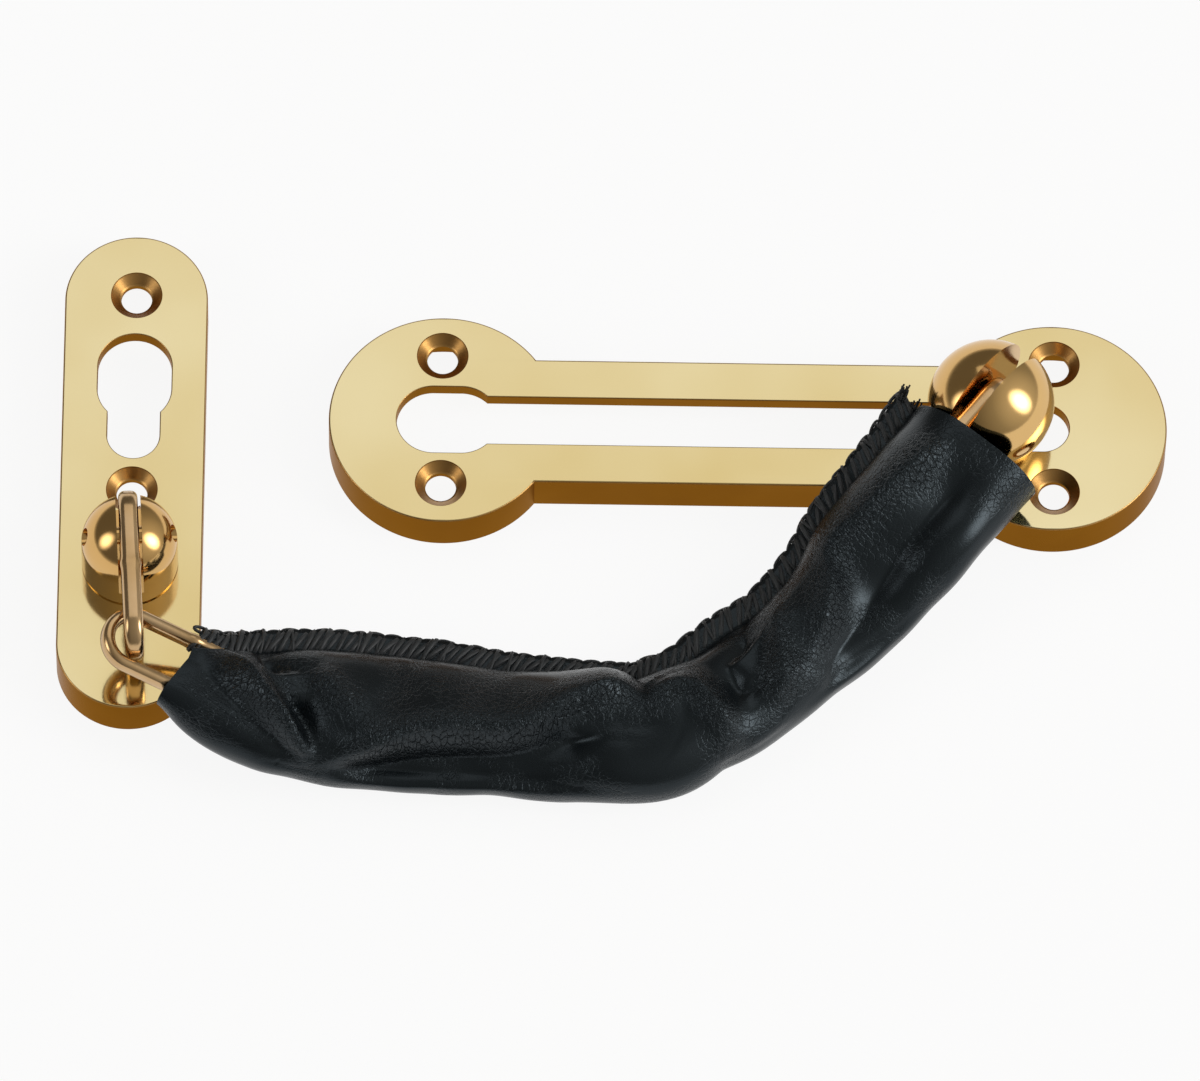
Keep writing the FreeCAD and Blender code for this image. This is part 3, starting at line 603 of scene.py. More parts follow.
def make_link_tree():
    """A closed link: flat-sided wire swept round a stadium, swollen where its ends are welded."""
    tree, sizes, result = geometry_tree("bent wire link", LINK_VALUES)

    def rounded(width, height, corners):
        """A rectangle with its shorter sides turned into half circles, just short of meeting."""
        box = add(tree, "GeometryNodeCurvePrimitiveQuadrilateral", Width=width, Height=height)
        short = add(tree, "ShaderNodeMath", operation="MINIMUM", _0=width, _1=height)
        bend = add(tree, "ShaderNodeMath", operation="MULTIPLY", _0=short, _1=0.4999)
        return add(
            tree, "GeometryNodeFilletCurve", mode="POLY", Curve=box, Count=corners, Radius=bend
        )

    wire = sizes["Wire Width"]
    long = add(tree, "ShaderNodeMath", operation="SUBTRACT", _0=sizes["Length"], _1=wire)
    wide = add(tree, "ShaderNodeMath", operation="SUBTRACT", _0=sizes["Width"], _1=wire)
    stadium = rounded(long, wide, 14)
    even = add(tree, "GeometryNodeResampleCurve", mode="COUNT", Curve=stadium, Count=140)
    level = add(tree, "GeometryNodeSetCurveNormal", mode="Z_UP", Curve=even)

    # the weld: a bell of e to the power of -ratio squared, on the upper side alone
    spot = add(tree, "ShaderNodeSeparateXYZ", Vector=add(tree, "GeometryNodeInputPosition"))
    ratio = add(tree, "ShaderNodeMath", operation="DIVIDE", _0=spot, _1=sizes["Weld Length"])
    squared = add(tree, "ShaderNodeMath", operation="MULTIPLY", _0=ratio, _1=ratio)
    bell = add(tree, "ShaderNodeMath", operation="POWER", _0=math.exp(-1), _1=squared)
    upper = add(tree, "ShaderNodeMath", operation="GREATER_THAN", _0=spot.outputs["Y"], _1=0.0)
    weld = add(tree, "ShaderNodeMath", operation="MULTIPLY", _0=bell, _1=upper)
    swollen = sizes["Weld Swell"]
    thickness = add(tree, "ShaderNodeMath", operation="MULTIPLY_ADD", _0=weld, _1=swollen, _2=1.0)

    profile = rounded(wire, sizes["Wire Height"], 5)
    bent = add(
        tree, "GeometryNodeCurveToMesh", Curve=level, Profile_Curve=profile, Scale=thickness
    )
    smooth = add(tree, "GeometryNodeSetShadeSmooth", Geometry=bent)
    finished = add(tree, "GeometryNodeSetMaterial", Geometry=smooth, Material=sizes["Finish"])
    feed(result, Geometry=finished)
    return tree


link_tree = make_link_tree()

# every joint down the chain, from the knob's pin; link 9 starts at the first
chain_names = ["knob_pin_tilt"] + ["link_%d_turn" % k for k in range(8, 0, -1)]
chain = [joint_spot(name) for name in chain_names]


def link_way(number):
    """A link's direction away from the knob."""
    if number == 1:
        return post_way.normalized()
    return (chain[10 - number] - chain[9 - number]).normalized()


# each link is turned a quarter from the one before it
link_ways = {number: link_way(number) for number in range(1, 10)}
for number, way in link_ways.items():
    node = "chain_link_%d" % number
    link = grow(node + "_dressed", link_tree, LINK_VALUES)
    level = UP.cross(way).normalized()
    across = -level if number % 2 == 0 else way.cross(level)
    turn = Matrix((way, across, way.cross(across))).transposed().to_4x4()
    link.data.transform(Matrix.Translation(node_middle(node) * MM) @ turn)
    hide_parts(node)
    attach(link, "link_%d" % number)

# ---------------- sleeve

# places along the chain's line from the knob's pin, each with the sleeve's reach to its seam
# side and outer side, its height above the line and its depth below it
SLEEVE_SIZES = [
    (9.3, 13.2, 16.4, 8.4, 6.4),
    (18.0, 12.4, 16.2, 7.8, 6.5),
    (23.5, 12.1, 16.1, 7.5, 6.6),
    (28.2, 12.1, 15.9, 7.3, 6.8),
    (32.4, 12.2, 15.6, 7.2, 6.9),
    (36.6, 11.8, 15.2, 7.2, 6.9),
    (41.1, 11.0, 14.9, 7.4, 7.0),
    (47.8, 10.3, 14.0, 7.4, 7.0),
    (54.7, 10.3, 13.0, 7.4, 7.0),
    (61.7, 12.8, 11.9, 7.4, 6.9),
    (68.1, 13.5, 10.8, 7.2, 6.8),
    (77.0, 12.8, 10.9, 7.2, 6.8),
    (81.4, 14.3, 10.8, 7.4, 6.8),
    (85.9, 14.4, 10.7, 7.4, 6.8),
    (92.0, 14.2, 11.5, 7.6, 6.8),
    (99.1, 13.7, 12.3, 7.6, 6.8),
    (112.9, 14.2, 12.0, 7.2, 6.8),
    (121.3, 15.6, 12.5, 7.2, 6.8),
    (130.1, 16.2, 12.4, 7.3, 6.8),
    (136.9, 15.5, 13.1, 7.6, 7.0),
    (143.8, 14.3, 13.6, 7.8, 7.0),
    (150.7, 12.6, 13.7, 7.6, 6.6),
    (157.1, 11.0, 12.2, 6.6, 5.8),
    (162.2, 8.9, 10.2, 4.8, 4.6),
    (166.5, 7.2, 8.3, 3.4, 3.4),
]
SLEEVE_START, SLEEVE_END = SLEEVE_SIZES[0][0], SLEEVE_SIZES[-1][0]
SLEEVE_WALL = 0.8
SLEEVE_GAP = 0.15
ROW_STEP = 0.6
# points round a row, and those of them on each face of the flat seam
AROUND = 112
FLANGE = 6
SEAM_WIDTH = 4.2
SEAM_HALF_THICK = 0.95
SEAM_HALF_GAP = 0.12

# folds of the upper side: height, half width toward the seam, half width toward the outer
# edge, and places as (along the line, across it toward the seam)
FOLDS = [
    # the seam side's long ridge and the broad hollow beside it
    (3.5, 6.0, 2.4, [
        (11, -0.6), (20, 0.2), (29, 1.6), (35, 2.6), (40, 1.4), (45, -2), (51, -5), (58, -7.4),
    ]),
    (-2.7, 5.6, 4.2, [(12, -7.6), (22, -7), (30, -6.8), (38, -7.6), (46, -9.4), (54, -11), (60, -12.4)]),
    # the buckle on the inside of the bend
    (-3.0, 2.8, 3.8, [(58, 9.2), (60.6, 6), (64, 3), (67.4, 0), (70, -3), (71.4, -6.6)]),
    (1.8, 3.8, 3.6, [(52, 5), (56, 1.4), (59.6, -2.6), (63.6, -6), (68, -8.6)]),
    (3.0, 3.2, 4.6, [(88, 3.6), (81, 4), (76.4, 2), (74.6, -2), (73.8, -6.6), (71.4, -9.8)]),
    # the long fold down the inside of the bend to the outer edge
    (4.7, 6.8, 2.6, [
        (140, -11.4), (134, -8.6), (127, -5.6), (119, -4.4), (111, -4.4), (105, -2.6),
        (98.6, 2), (92.4, 5), (86, 5.2),
    ]),
    (-3.8, 2.8, 6.0, [
        (140, -13.2), (133, -11.2), (126, -9.4), (118, -8.6), (111, -8), (105, -6.2), (99, -3), (92, 0),
    ]),
    # the flap at the anchor's mouth, creased on both sides
    (3.4, 1.8, 3.2, [(163, 4.6), (156.4, 0), (149.4, -5.8), (143.6, -10.8), (141.6, -12.6)]),
    (-4.1, 2.8, 1.6, [
        (156, 7.6), (153.4, 5), (151.2, 1.6), (147.8, -2.8), (145.4, -7.2), (142.4, -11.4), (141.2, -13),
    ]),
    (-2.3, 1.6, 2.4, [(164.4, 0.3), (157.6, -4.6), (152.9, -8.4), (147.8, -11.2), (142.7, -13.4)]),
    (1.1, 4.0, 4.0, [(146, 4), (141, 0), (137, -4.6)]),
]
# the slack of soft cloth everywhere else: half wavelength along, waves round, phase and depth
SLACK = [(9.0, 3, 0.4, 0.12), (14.0, 2, 1.9, 0.16), (5.5, 5, 4.1, 0.06)]


def smooth_line(points, per_span):
    """A smooth line through an array's points."""
    ends = [points[0] * 2 - points[1], *points, points[-1] * 2 - points[-2]]
    line = []
    for a, b, c, d in zip(ends, ends[1:], ends[2:], ends[3:]):
        for i in range(per_span):
            t = i / per_span
            straight = b * 2 + (c - a) * t
            bend = (a * 2 - b * 5 + c * 4 - d) * t * t
            line.append((straight + bend + (b * 3 - a - c * 3 + d) * t ** 3) / 2)
    return np.array([*line, points[-1]])


def along(points):
    """How far along a line of points each one lies."""
    return np.concatenate([[0.0], np.cumsum(np.linalg.norm(np.diff(points, axis=0), axis=1))])


def unit(vectors):
    """Vectors in the last axis at a length of 1."""
    return vectors / np.maximum(np.linalg.norm(vectors, axis=-1, keepdims=True), 1e-9)


def ease(share):
    """A smooth step from 0 to 1."""
    share = np.clip(share, 0, 1)
    return share * share * (3 - 2 * share)


line_points = []
for here, there in zip(chain, chain[1:]):
    line_points += [here, (here + there) / 2]
sleeve_line = smooth_line(np.array([*line_points, chain[-1]]), 24)
line_stations = along(sleeve_line)


def on_line(station):
    """The line's own points at stations."""
    return np.stack([np.interp(station, line_stations, sleeve_line[:, i]) for i in range(3)], -1)


def line_axes(station):
    """The line's point, its seam side and its upper side at stations."""
    way = unit(on_line(station + 1.5) - on_line(station - 1.5))
    side = unit(np.cross(way, (0, 0, 1)))
    return on_line(station), side, np.cross(side, way)


def station_near(spot):
    """The line's station nearest to a spot."""
    return line_stations[np.linalg.norm(sleeve_line - np.array(spot), axis=1).argmin()]


row_count = int(round((SLEEVE_END - SLEEVE_START) / ROW_STEP)) + 1
stations = np.linspace(SLEEVE_START, SLEEVE_END, row_count)


def smooth_sizes():
    """The size table at every row, eased so that no station shows as a kink."""
    table = np.array(SLEEVE_SIZES)
    reach = 5
    kernel = np.hanning(2 * reach + 3)[1:-1]
    columns = []
    for column in table.T[1:]:
        fine = np.interp(stations, table[:, 0], column)
        padded = np.concatenate([[fine[0]] * reach, fine, [fine[-1]] * reach])
        columns.append(np.convolve(padded, kernel / kernel.sum(), "valid"))
    return np.array(columns).T


def section(sizes, inset):
    """One row's closed loop: across toward the seam, and up. It starts on the seam's tip.

    The tube is a little squarer than an ellipse, and the inset loop is its inner face.
    """
    squarer_across, squarer_up = 0.86, 0.92
    seam, outer, high, deep = sizes
    root = seam - SEAM_WIDTH
    middle, half = (root - outer) / 2, (root + outer) / 2 - inset
    thick = SEAM_HALF_THICK if inset == 0 else SEAM_HALF_GAP
    tip = seam - inset * 2.5
    high, deep = high - inset, deep - inset
    start = math.asin(min(thick / high, 0.9))
    stop = 2 * math.pi - math.asin(min(thick / deep, 0.9))
    root_x = middle + half
    loop = [(tip + (root_x - tip) * i / FLANGE, thick) for i in range(FLANGE)]
    tube = AROUND - 2 * FLANGE
    for i in range(tube + 1):
        turn = start + (stop - start) * i / tube
        c, s = math.cos(turn), math.sin(turn)
        x = middle + half * math.copysign(abs(c) ** squarer_across, c)
        loop.append((x, (high if s > 0 else deep) * math.copysign(abs(s) ** squarer_up, s)))
    return loop + [(root_x + (tip - root_x) * i / FLANGE, -thick) for i in range(1, FLANGE)]


def stroke_field(spots, line, seam_side, outer_side):
    """How near each spot lies to a fold's line, from 0 to 1, how far off it is, and the fold's
    strength there, which fades toward both ends."""
    line = smooth_line(np.array(line, float), 5)
    nearest = np.full(spots.shape[:2], np.inf)
    side, share = np.zeros_like(nearest), np.zeros_like(nearest)
    length = along(line)
    for number, (a, b) in enumerate(zip(line, line[1:])):
        step = b - a
        reach = step @ step
        t = np.clip(((spots - a) @ step) / reach, 0, 1)
        off = spots - a - t[..., None] * step
        distance = np.linalg.norm(off, axis=-1)
        closer = distance < nearest
        nearest = np.where(closer, distance, nearest)
        side = np.where(closer, off[..., 1], side)
        share = np.where(closer, length[number] + t * math.sqrt(reach), share)
    width = np.where(side > 0, seam_side, outer_side)
    soft_end = min(9, 0.3 * length[-1])
    fade = ease(share / soft_end) * ease((length[-1] - share) / soft_end)
    return np.exp(-((nearest / width) ** 1.35)), nearest, 0.2 + 0.8 * fade


def link_roof(spots):
    """How high the links reach under each spot, above the line."""
    roof = np.zeros(spots.shape[:2])
    tip, half, thick = LINK_LENGTH / 2, LINK_WIDTH / 2, WIRE_HEIGHT / 2
    play = 0.3
    for number in range(9, 1, -1):
        station = station_near(node_middle("chain_link_%d" % number))
        inward = np.clip(tip - np.abs(spots[..., 0] - station), 0, half)
        bow = np.sqrt(np.maximum(half ** 2 - (half - inward) ** 2, 0))
        upright = number % 2 == 1
        height, wide = (bow + play, thick) if upright else (thick + play, bow)
        near = 1 - ease((np.abs(spots[..., 1]) - wide - 0.5) / 2.6)
        roof = np.maximum(roof, np.where(inward > 0, height * near, 0))
    return roof


row_sizes = smooth_sizes()
outer_flat = np.array([section(sizes, 0.0) for sizes in row_sizes])
inner_flat = np.array([section(sizes, SLEEVE_WALL) for sizes in row_sizes])
spots = np.dstack([np.repeat(stations[:, None], AROUND, 1), outer_flat[..., 0]])
upper = ease((outer_flat[..., 1] - 0.9) / 2.0)
swell = np.zeros(spots.shape[:2])
worn = np.zeros(spots.shape[:2])
for height, seam_side, outer_side, line in FOLDS:
    field, distance, strength = stroke_field(spots, line, seam_side, outer_side)
    swell += height * field * strength
    if height > 0:
        worn = np.maximum(worn, np.exp(-((distance / 2.6) ** 2)) * strength)
swell *= upper
worn *= upper
round_share = np.linspace(0, 2 * math.pi, AROUND, endpoint=False)[None, :]
for wave, turns, phase, depth in SLACK:
    slack = np.sin(spots[..., 0] / wave * math.pi + phase) * np.sin(turns * round_share + phase)
    swell += depth * slack * np.abs(np.sin(round_share / 2)) ** 0.5

# the way that a fold moves each point: out of the tube, and straight off the flat seam
away = unit(np.dstack([
    np.roll(outer_flat[..., 1], -1, 1) - np.roll(outer_flat[..., 1], 1, 1),
    np.roll(outer_flat[..., 0], 1, 1) - np.roll(outer_flat[..., 0], -1, 1),
]))
away[:, :FLANGE + 1] = (0, 1)
away[:, -FLANGE:] = (0, -1)
swell[:, :FLANGE - 1] = 0
swell[:, 2 - FLANGE:] = 0
roof = link_roof(spots)


def lift(flat, above_roof):
    """A section's points moved by the folds, and raised where a link lies close under them."""
    soft_edge = 0.6
    moved = flat + away * swell[..., None]
    room = moved[..., 1] - roof - above_roof
    eased = (room + np.sqrt(room ** 2 + soft_edge ** 2)) / 2 + roof + above_roof
    held = ease((upper - 0.3) / 0.4) * ease(roof / 1.5)
    return np.dstack([moved[..., 0], moved[..., 1] * (1 - held) + eased * held])


def knob_mouth(x, y):
    """How far the knob's mouth is cut back from the line's start, to stay off the ball."""
    clear, drop = KNOB_RADIUS + 0.5, 0.7
    ball = np.sqrt(np.maximum(clear ** 2 - x ** 2 - (y - drop) ** 2, 0))
    return np.maximum(0.04 * x - 0.5, ball - SLEEVE_START)


def anchor_mouth(x, y):
    """How far the anchor's mouth runs on: its outer edge and its top most, its seam least."""
    return 0.28 * np.maximum(y, 0) - 0.3 * np.minimum(x, 0) - 0.8 * np.maximum(x - 6, 0)


def put_in_place(flat):
    """Rows of section points on the sleeve's line, with both mouths shaped."""
    x, y = flat[..., 0], flat[..., 1]
    near = 1 - ease((stations[:, None] - SLEEVE_START) / 12)
    far = 1 - ease((SLEEVE_END - stations[:, None]) / 10)
    place = stations[:, None] + near * knob_mouth(x, y) + far * anchor_mouth(x, y)
    here, side, above = line_axes(place)
    points = here + side * x[..., None] + above * y[..., None]
    points[..., 2] = np.maximum(points[..., 2], 0.05)
    return points


outer_rows = put_in_place(lift(outer_flat, SLEEVE_WALL + SLEEVE_GAP))
inner_rows = put_in_place(lift(inner_flat, SLEEVE_GAP))


def grid_normals(rows, outward):
    """Smooth normals of a grid that closes round each row, and whether its faces look out."""
    around = np.roll(rows, -1, axis=1) - np.roll(rows, 1, axis=1)
    normals = unit(np.cross(np.gradient(rows, axis=0), around))
    points_out = ((rows - rows.mean(axis=1, keepdims=True)) * normals).sum() > 0
    return (normals if points_out == outward else -normals), points_out


outer_normals, ROWS_FACE_OUT = grid_normals(outer_rows, True)
inner_normals, _ = grid_normals(inner_rows, False)
wrap = np.linalg.norm(np.roll(outer_flat, -1, axis=1) - outer_flat, axis=2).mean(axis=0)
round_places = np.concatenate([[0.0], np.cumsum(wrap)])

# the sleeve is cut at the middle of each link, where both of its neighbours lie still
cuts = [station_near((chain[9 - number] + chain[10 - number]) / 2) for number in range(8, 2, -1)]
cut_rows = [int(np.abs(stations - s).argmin()) for s in (SLEEVE_START, *cuts, SLEEVE_END)]
SPANS = [(number, number - 1) for number in range(9, 2, -1)]


def sleeve_piece(name, first, last):
    """The sleeve from one row to another, as a closed shell with the whole sleeve's normals."""
    count = last - first + 1
    points = np.concatenate([outer_rows[first:last + 1], inner_rows[first:last + 1]])
    normals = np.concatenate([outer_normals[first:last + 1], inner_normals[first:last + 1]])
    normals = normals.reshape(-1, 3)
    shift = count * AROUND

    def quads(*corners):
        return np.stack(corners, -1).reshape(-1, 4).tolist()

    # the points' numbers on the outer and the inner grid, and those of the next points round
    (out, inn), (out_b, inn_b) = [
        np.roll(np.arange(2 * shift).reshape(2, count, AROUND), turn, axis=2) for turn in (0, -1)
    ]
    faces = quads(out[:-1], out[1:], out_b[1:], out_b[:-1])
    faces += quads(inn[:-1], inn_b[:-1], inn_b[1:], inn[1:])
    rim_start = len(faces)
    faces += quads(out[0], out_b[0], inn_b[0], inn[0])
    faces += quads(inn[-1], inn_b[-1], out_b[-1], out[-1])
    if not ROWS_FACE_OUT:
        faces = [face[::-1] for face in faces]
    piece = new_piece(name, points.reshape(-1, 3).tolist(), faces, [sleeve_leather])
    mesh = piece.data
    uv = mesh.uv_layers.new(name="UVMap")
    corners = [None] * len(mesh.loops)
    for face in mesh.polygons:
        columns = [v % AROUND for v in face.vertices]
        wraps = 0 in columns and AROUND - 1 in columns
        for loop, vertex, column in zip(face.loop_indices, face.vertices, columns):
            row = (vertex % shift) // AROUND
            turn = round_places[AROUND if wraps and column == 0 else column]
            uv.data[loop].uv = (stations[first + row], turn)
            corners[loop] = tuple(face.normal if face.index >= rim_start else normals[vertex])
    mesh.normals_split_custom_set(corners)
    wear = mesh.attributes.new("worn", "FLOAT", "POINT")
    outside = worn[first:last + 1].reshape(-1)
    wear.data.foreach_set("value", np.concatenate([outside, np.zeros(shift)]).astype(np.float32))
    return piece


def bend_with(piece):
    """Bake a piece's placement into its mesh."""
    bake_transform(piece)


for (near, far), first, last in zip(SPANS, cut_rows, cut_rows[1:]):
    span = sleeve_piece("leather_sleeve_%d_to_%d" % (near, far), first, last)
    bend_with(span)
    nodes = ["leather_sleeve_%d" % near]
    if far == 2:
        nodes.append("leather_sleeve_2")
    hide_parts(*nodes)

# ---------------- overlock seam

# the stitches lie closer together on the anchor's half
STITCH_SPACING, CLOSER_SPACING = 1.7 * MM, 1.35 * MM
FIRST_SEED = 11
STITCH_VALUES = {
    "Spacing": STITCH_SPACING,
    "Reach": (SEAM_WIDTH / 2 + 0.35) * MM,
    "Half Height": (SEAM_HALF_THICK + 0.18) * MM,
    "Thread Radius": 0.48 * MM,
    "Slant": 0.62,
    "Picot": 0.5 * MM,
    "Edge Offset": 2.1 * MM,
    "Seed": FIRST_SEED,
    "Finish": thread,
}


def make_stitch_tree():
    """Overlock stitches along a rail: two layers of slanted loops round the edge, and picots."""
    tree, sizes, result = geometry_tree("overlock stitches", STITCH_VALUES)
    edge = add(tree, "GeometryNodeMeshToCurve", Mesh=sizes["Geometry"])
    rail = add(tree, "GeometryNodeSetCurveNormal", mode="Z_UP", Curve=edge)
    joined = add(tree, "GeometryNodeJoinGeometry")

    def layer(spacing, wide, tall, slant, lying, offset, radius, seed):
        """Join in one set of loops, each an oval of thread, turned by its slant."""
        circle = add(tree, "GeometryNodeCurvePrimitiveCircle", Resolution=14, Radius=1.0)
        shape = add(tree, "ShaderNodeCombineXYZ", X=wide, Y=tall, Z=1.0)
        tilt = add(tree, "ShaderNodeCombineXYZ", X=lying, Y=slant, Z=0.0)
        oval = add(tree, "GeometryNodeTransform", Geometry=circle, Scale=shape, Rotation=tilt)
        strand = add(tree, "GeometryNodeCurvePrimitiveCircle", Resolution=5, Radius=radius)
        loop = add(tree, "GeometryNodeCurveToMesh", Curve=oval, Profile_Curve=strand)
        beads = add(tree, "GeometryNodeCurveToPoints", mode="LENGTH", Curve=rail, Length=spacing)
        number = add(tree, "ShaderNodeMath", operation="ADD", _0=sizes["Seed"], _1=seed)
        other = add(tree, "ShaderNodeMath", operation="ADD", _0=number, _1=7.0)
        most = Vector((0.12, 0.22, 0.12))
        chance = {"data_type": "FLOAT_VECTOR", "Min": -most, "Max": most}
        sway = add(tree, "FunctionNodeRandomValue", **chance, Seed=number)
        way = beads.outputs["Rotation"]
        turn = add(
            tree, "FunctionNodeRotateRotation", rotation_space="LOCAL", Rotation=way, _1=sway
        )
        plump = add(
            tree, "FunctionNodeRandomValue", data_type="FLOAT", _2=0.9, _3=1.14, Seed=other
        )
        out = beads.outputs["Normal"]
        move = add(tree, "ShaderNodeVectorMath", operation="SCALE", _0=out, Scale=offset)
        moved = add(tree, "GeometryNodeSetPosition", Geometry=beads, Offset=move)
        settings = {"Rotation": turn, "Scale": plump.outputs[1]}
        placed = add(
            tree, "GeometryNodeInstanceOnPoints", Points=moved, Instance=loop, **settings
        )
        feed(joined, Geometry=placed)

    shares = {"Spacing": 2.0, "Half Height": 1.08, "Slant": 0.45, "Thread Radius": 0.62}
    doubled, taller, less, thin = [
        add(tree, "ShaderNodeMath", operation="MULTIPLY", _0=sizes[label], _1=share)
        for label, share in shares.items()
    ]
    spacing, reach, tall, slant = [sizes[n] for n in ("Spacing", "Reach", "Half Height", "Slant")]
    layer(spacing, reach, tall, slant, 0.0, 0.0, sizes["Thread Radius"], 1.0)
    layer(doubled, reach, taller, less, 0.0, 0.0, thin, 2.0)
    layer(doubled, sizes["Picot"], spacing, 0.0, math.pi / 2, sizes["Edge Offset"], thin, 3.0)
    real = add(tree, "GeometryNodeRealizeInstances", Geometry=joined)
    smooth = add(tree, "GeometryNodeSetShadeSmooth", Geometry=real)
    finished = add(tree, "GeometryNodeSetMaterial", Geometry=smooth, Material=sizes["Finish"])
    feed(result, Geometry=finished)
    return tree


stitch_tree = make_stitch_tree()
seam_tip = (outer_rows[:, 0] + outer_rows[:, -1]) / 2
seam_root = (outer_rows[:, FLANGE] + outer_rows[:, -FLANGE]) / 2
seam_middle = seam_tip * 0.56 + seam_root * 0.44
for index, ((near, far), first, last) in enumerate(zip(SPANS, cut_rows, cut_rows[1:])):
    rail = bpy.data.meshes.new("seam_rail_%d" % near)
    rail_points = (seam_middle[first:last + 1] * MM).tolist()
    rail.from_pydata(rail_points, [(i, i + 1) for i in range(len(rail_points) - 1)], [])
    spacing = STITCH_SPACING if near > 6 else CLOSER_SPACING
    values = {**STITCH_VALUES, "Spacing": spacing, "Seed": FIRST_SEED + index}
    stitched = grow("overlock_thread_%d_to_%d" % (near, far), stitch_tree, values, rail)
    bend_with(stitched)


def thread_end(curve, points):
    """A spline for one loose thread end, through points in millimetres."""
    spline = curve.splines.new("NURBS")
    spline.points.add(len(points) - 1)
    spline.points.foreach_set("co", [c for point in points for c in (*(point * MM), 1.0)])
    spline.order_u = 3
    spline.use_endpoint_u = True


# the overlock's cut tails stand up in two small tufts at the knob's mouth
tufts = bpy.data.curves.new("seam_tufts", "CURVE")
tufts.dimensions = "3D"
tufts.bevel_depth = 0.17 * MM
tufts.bevel_resolution = 1
_, mouth_side, mouth_up = line_axes(np.array(SLEEVE_START))
mouth_way = np.cross(mouth_up, mouth_side)
spread = np.random.default_rng(5)
for root, length, count in ((outer_rows[1, 1], 3.6, 12), (outer_rows[1, 5], 2.2, 8)):
    for _ in range(count):
        lean = mouth_up * 0.75 - mouth_way * 0.75 + spread.normal(0, 0.22, 3)
        start = root + mouth_side * spread.normal(0, 0.45) - mouth_up * 0.4
        reach = length * spread.uniform(0.6, 1.05)
        bow = mouth_side * spread.normal(0, 0.5)
        middle, end = start + lean * reach * 0.5 + bow, start + lean * reach + bow * 0.4
        thread_end(tufts, [start, middle, end])
tuft_maker = show("seam_tuft_maker", tufts)
tuft_mesh = bpy.data.meshes.new_from_object(tuft_maker)
bpy.data.objects.remove(tuft_maker)
tuft_mesh.materials.clear()
tuft_mesh.materials.append(thread)
tuft = show("seam_tufts", tuft_mesh)
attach(tuft, "link_9")

# ---------------- stage, light and camera


def make_paper():
    """Seamless white paper: it glows to the camera and the metal, and keeps the shadow."""
    glow_share = 0.9
    material, tree, shader = finish("white paper", "#f4f4f4", 0.0, 0.9, Specular_IOR_Level=0.0)
    rays = add(tree, "ShaderNodeLightPath").outputs
    camera_ray, glossy_ray = rays["Is Camera Ray"], rays["Is Glossy Ray"]
    seen = add(tree, "ShaderNodeMath", operation="MAXIMUM", _0=camera_ray, _1=glossy_ray)
    share = add(tree, "ShaderNodeMath", operation="MULTIPLY", _0=seen, _1=glow_share)
    glow = add(tree, "ShaderNodeEmission", Color=linear("#ffffff"), Strength=1.0)
    paper = add(tree, "ShaderNodeMixShader", Fac=share, _1=shader, _2=glow)
    feed(tree.nodes["Material Output"], Surface=paper)
    return material


PAPER_HALF, PAPER_DROP = 6000, 0.2
paper_corners = [(x * PAPER_HALF, y * PAPER_HALF) for x, y in ((-1, -1), (1, -1), (1, 1), (-1, 1))]
paper_points = [(x, y, -PAPER_DROP) for x, y in paper_corners]
new_piece("floor", paper_points, [(0, 1, 2, 3)], [make_paper()])

low, high = [Vector(corner) for corner in cad_bounds]
centre = (low + high) / 2


def fade_to_rim(data):
    """A diffuser in front of the lamp: brightest in the middle, dark at its rim."""
    data.use_nodes = True
    tree = data.node_tree
    place = add(tree, "ShaderNodeNewGeometry").outputs["Parametric"]
    middle = (0.5, 0.5, 0)
    from_middle = add(tree, "ShaderNodeVectorMath", operation="DISTANCE", _0=place, _1=middle)
    share = add(
        tree,
        "ShaderNodeMapRange",
        interpolation_type="SMOOTHSTEP",
        Value=from_middle.outputs["Value"],
        From_Min=0.06,
        From_Max=0.5,
        To_Min=1.0,
        To_Max=0.0,
    )
    feed(tree.nodes["Emission"], Strength=share)


def soft_light(name, size, elevation, azimuth, distance, power, round_box=True):
    """A soft box aimed at the set from an elevation and azimuth, 0 being the near side.

    Its size and distance are in metres.
    """
    e, a = math.radians(elevation), math.radians(azimuth)
    away = Vector((math.sin(a) * math.cos(e), -math.cos(a) * math.cos(e), math.sin(e)))
    data = bpy.data.lights.new(name, "AREA")
    data.shape = "ELLIPSE" if round_box else "RECTANGLE"
    data.size, data.size_y = size
    data.energy = power
    light = show(name, data)
    light.location = centre + away * distance
    light.rotation_euler = away.to_track_quat("Z", "Y").to_euler()
    light.visible_camera = False
    if round_box:
        fade_to_rim(data)


soft_light(
    "back soft box", (1.5, 1.3), elevation=62, azimuth=180, distance=1.9, power=4.05, round_box=False
)
soft_light("right soft box", (1.3, 2.0), elevation=32, azimuth=76, distance=1.8, power=42)
soft_light("left soft box", (1.2, 1.8), elevation=30, azimuth=-76, distance=1.8, power=18)


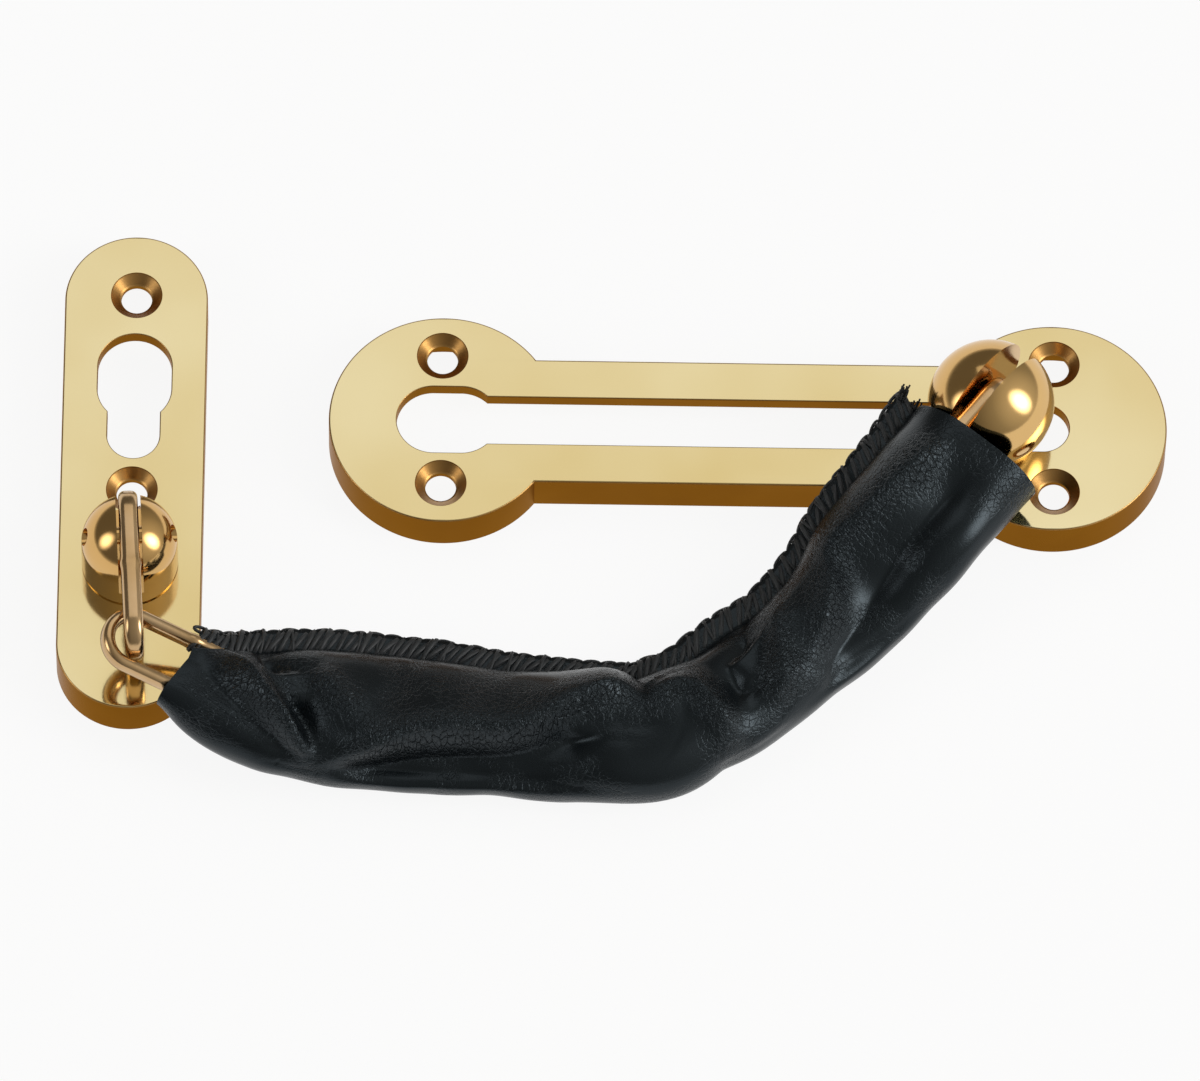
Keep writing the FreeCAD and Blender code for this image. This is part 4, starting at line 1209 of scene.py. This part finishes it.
def make_room():
    """A grey room, brighter to the right and at its foot, and white where the camera sees it."""
    bright_way = (0.8, -0.2, 0.566)
    wall_tones = [(0.0, "#7d7a75"), (0.3, "#9b9892"), (0.6, "#b4b2ac"), (0.92, "#e8e6e0")]
    foot_tones = [(0.0, "#e2dfd9"), (0.16, "#000000")]
    world = bpy.data.worlds.new("studio")
    world.use_nodes = True
    tree = world.node_tree
    way = add(tree, "ShaderNodeTexCoord").outputs["Generated"]
    toward = add(tree, "ShaderNodeVectorMath", operation="DOT_PRODUCT", _0=way, _1=bright_way)
    height = add(tree, "ShaderNodeSeparateXYZ", Vector=way).outputs["Z"]
    walls = add(tree, "ShaderNodeValToRGB", stops=wall_tones, Fac=toward.outputs["Value"])
    foot = add(tree, "ShaderNodeValToRGB", stops=foot_tones, Fac=height)
    tone = add(
        tree, "ShaderNodeMix", data_type="RGBA", blend_type="LIGHTEN", _0=1.0, _6=walls, _7=foot
    )
    room = tree.nodes["Background"]
    feed(room, Color=tone.outputs[2], Strength=0.75)
    backdrop = add(tree, "ShaderNodeBackground", Color=linear("#ffffff"), Strength=1.0)
    seen = add(tree, "ShaderNodeLightPath").outputs["Is Camera Ray"]
    both = add(tree, "ShaderNodeMixShader", Fac=seen, _1=room, _2=backdrop)
    feed(tree.nodes["World Output"], Surface=both)
    return world


bpy.context.scene.world = make_room()

# the camera looks down with a long lens from 3 m away, a little turned and rolled; its aim
# is left of the slide plate and nearer than it. Angles are in degrees, and places in metres.
CAMERA_ELEVATION, CAMERA_TURN, CAMERA_ROLL = 62.995, -0.6701, 1.4107
CAMERA_DISTANCE = 3.0045
CAMERA_AIM = Vector((-0.0249, -0.01891, 0))
turn = Matrix.Rotation(math.radians(CAMERA_TURN), 4, "Z")
tilt = Matrix.Rotation(math.radians(90 - CAMERA_ELEVATION), 4, "X")
roll = Matrix.Rotation(math.radians(CAMERA_ROLL), 4, "Z")
aimed = Matrix.Translation(slide_at * MM) @ turn @ Matrix.Translation(CAMERA_AIM)
camera_data = bpy.data.cameras.new("camera")
camera_data.lens = 524.86
camera_data.sensor_width = 36.0
camera_data.clip_end = 50.0
camera = show("camera", camera_data)
camera.matrix_world = aimed @ tilt @ roll @ Matrix.Translation((0, 0, CAMERA_DISTANCE))
bpy.context.scene.camera = camera
bpy.context.scene.view_settings.view_transform = "Standard"
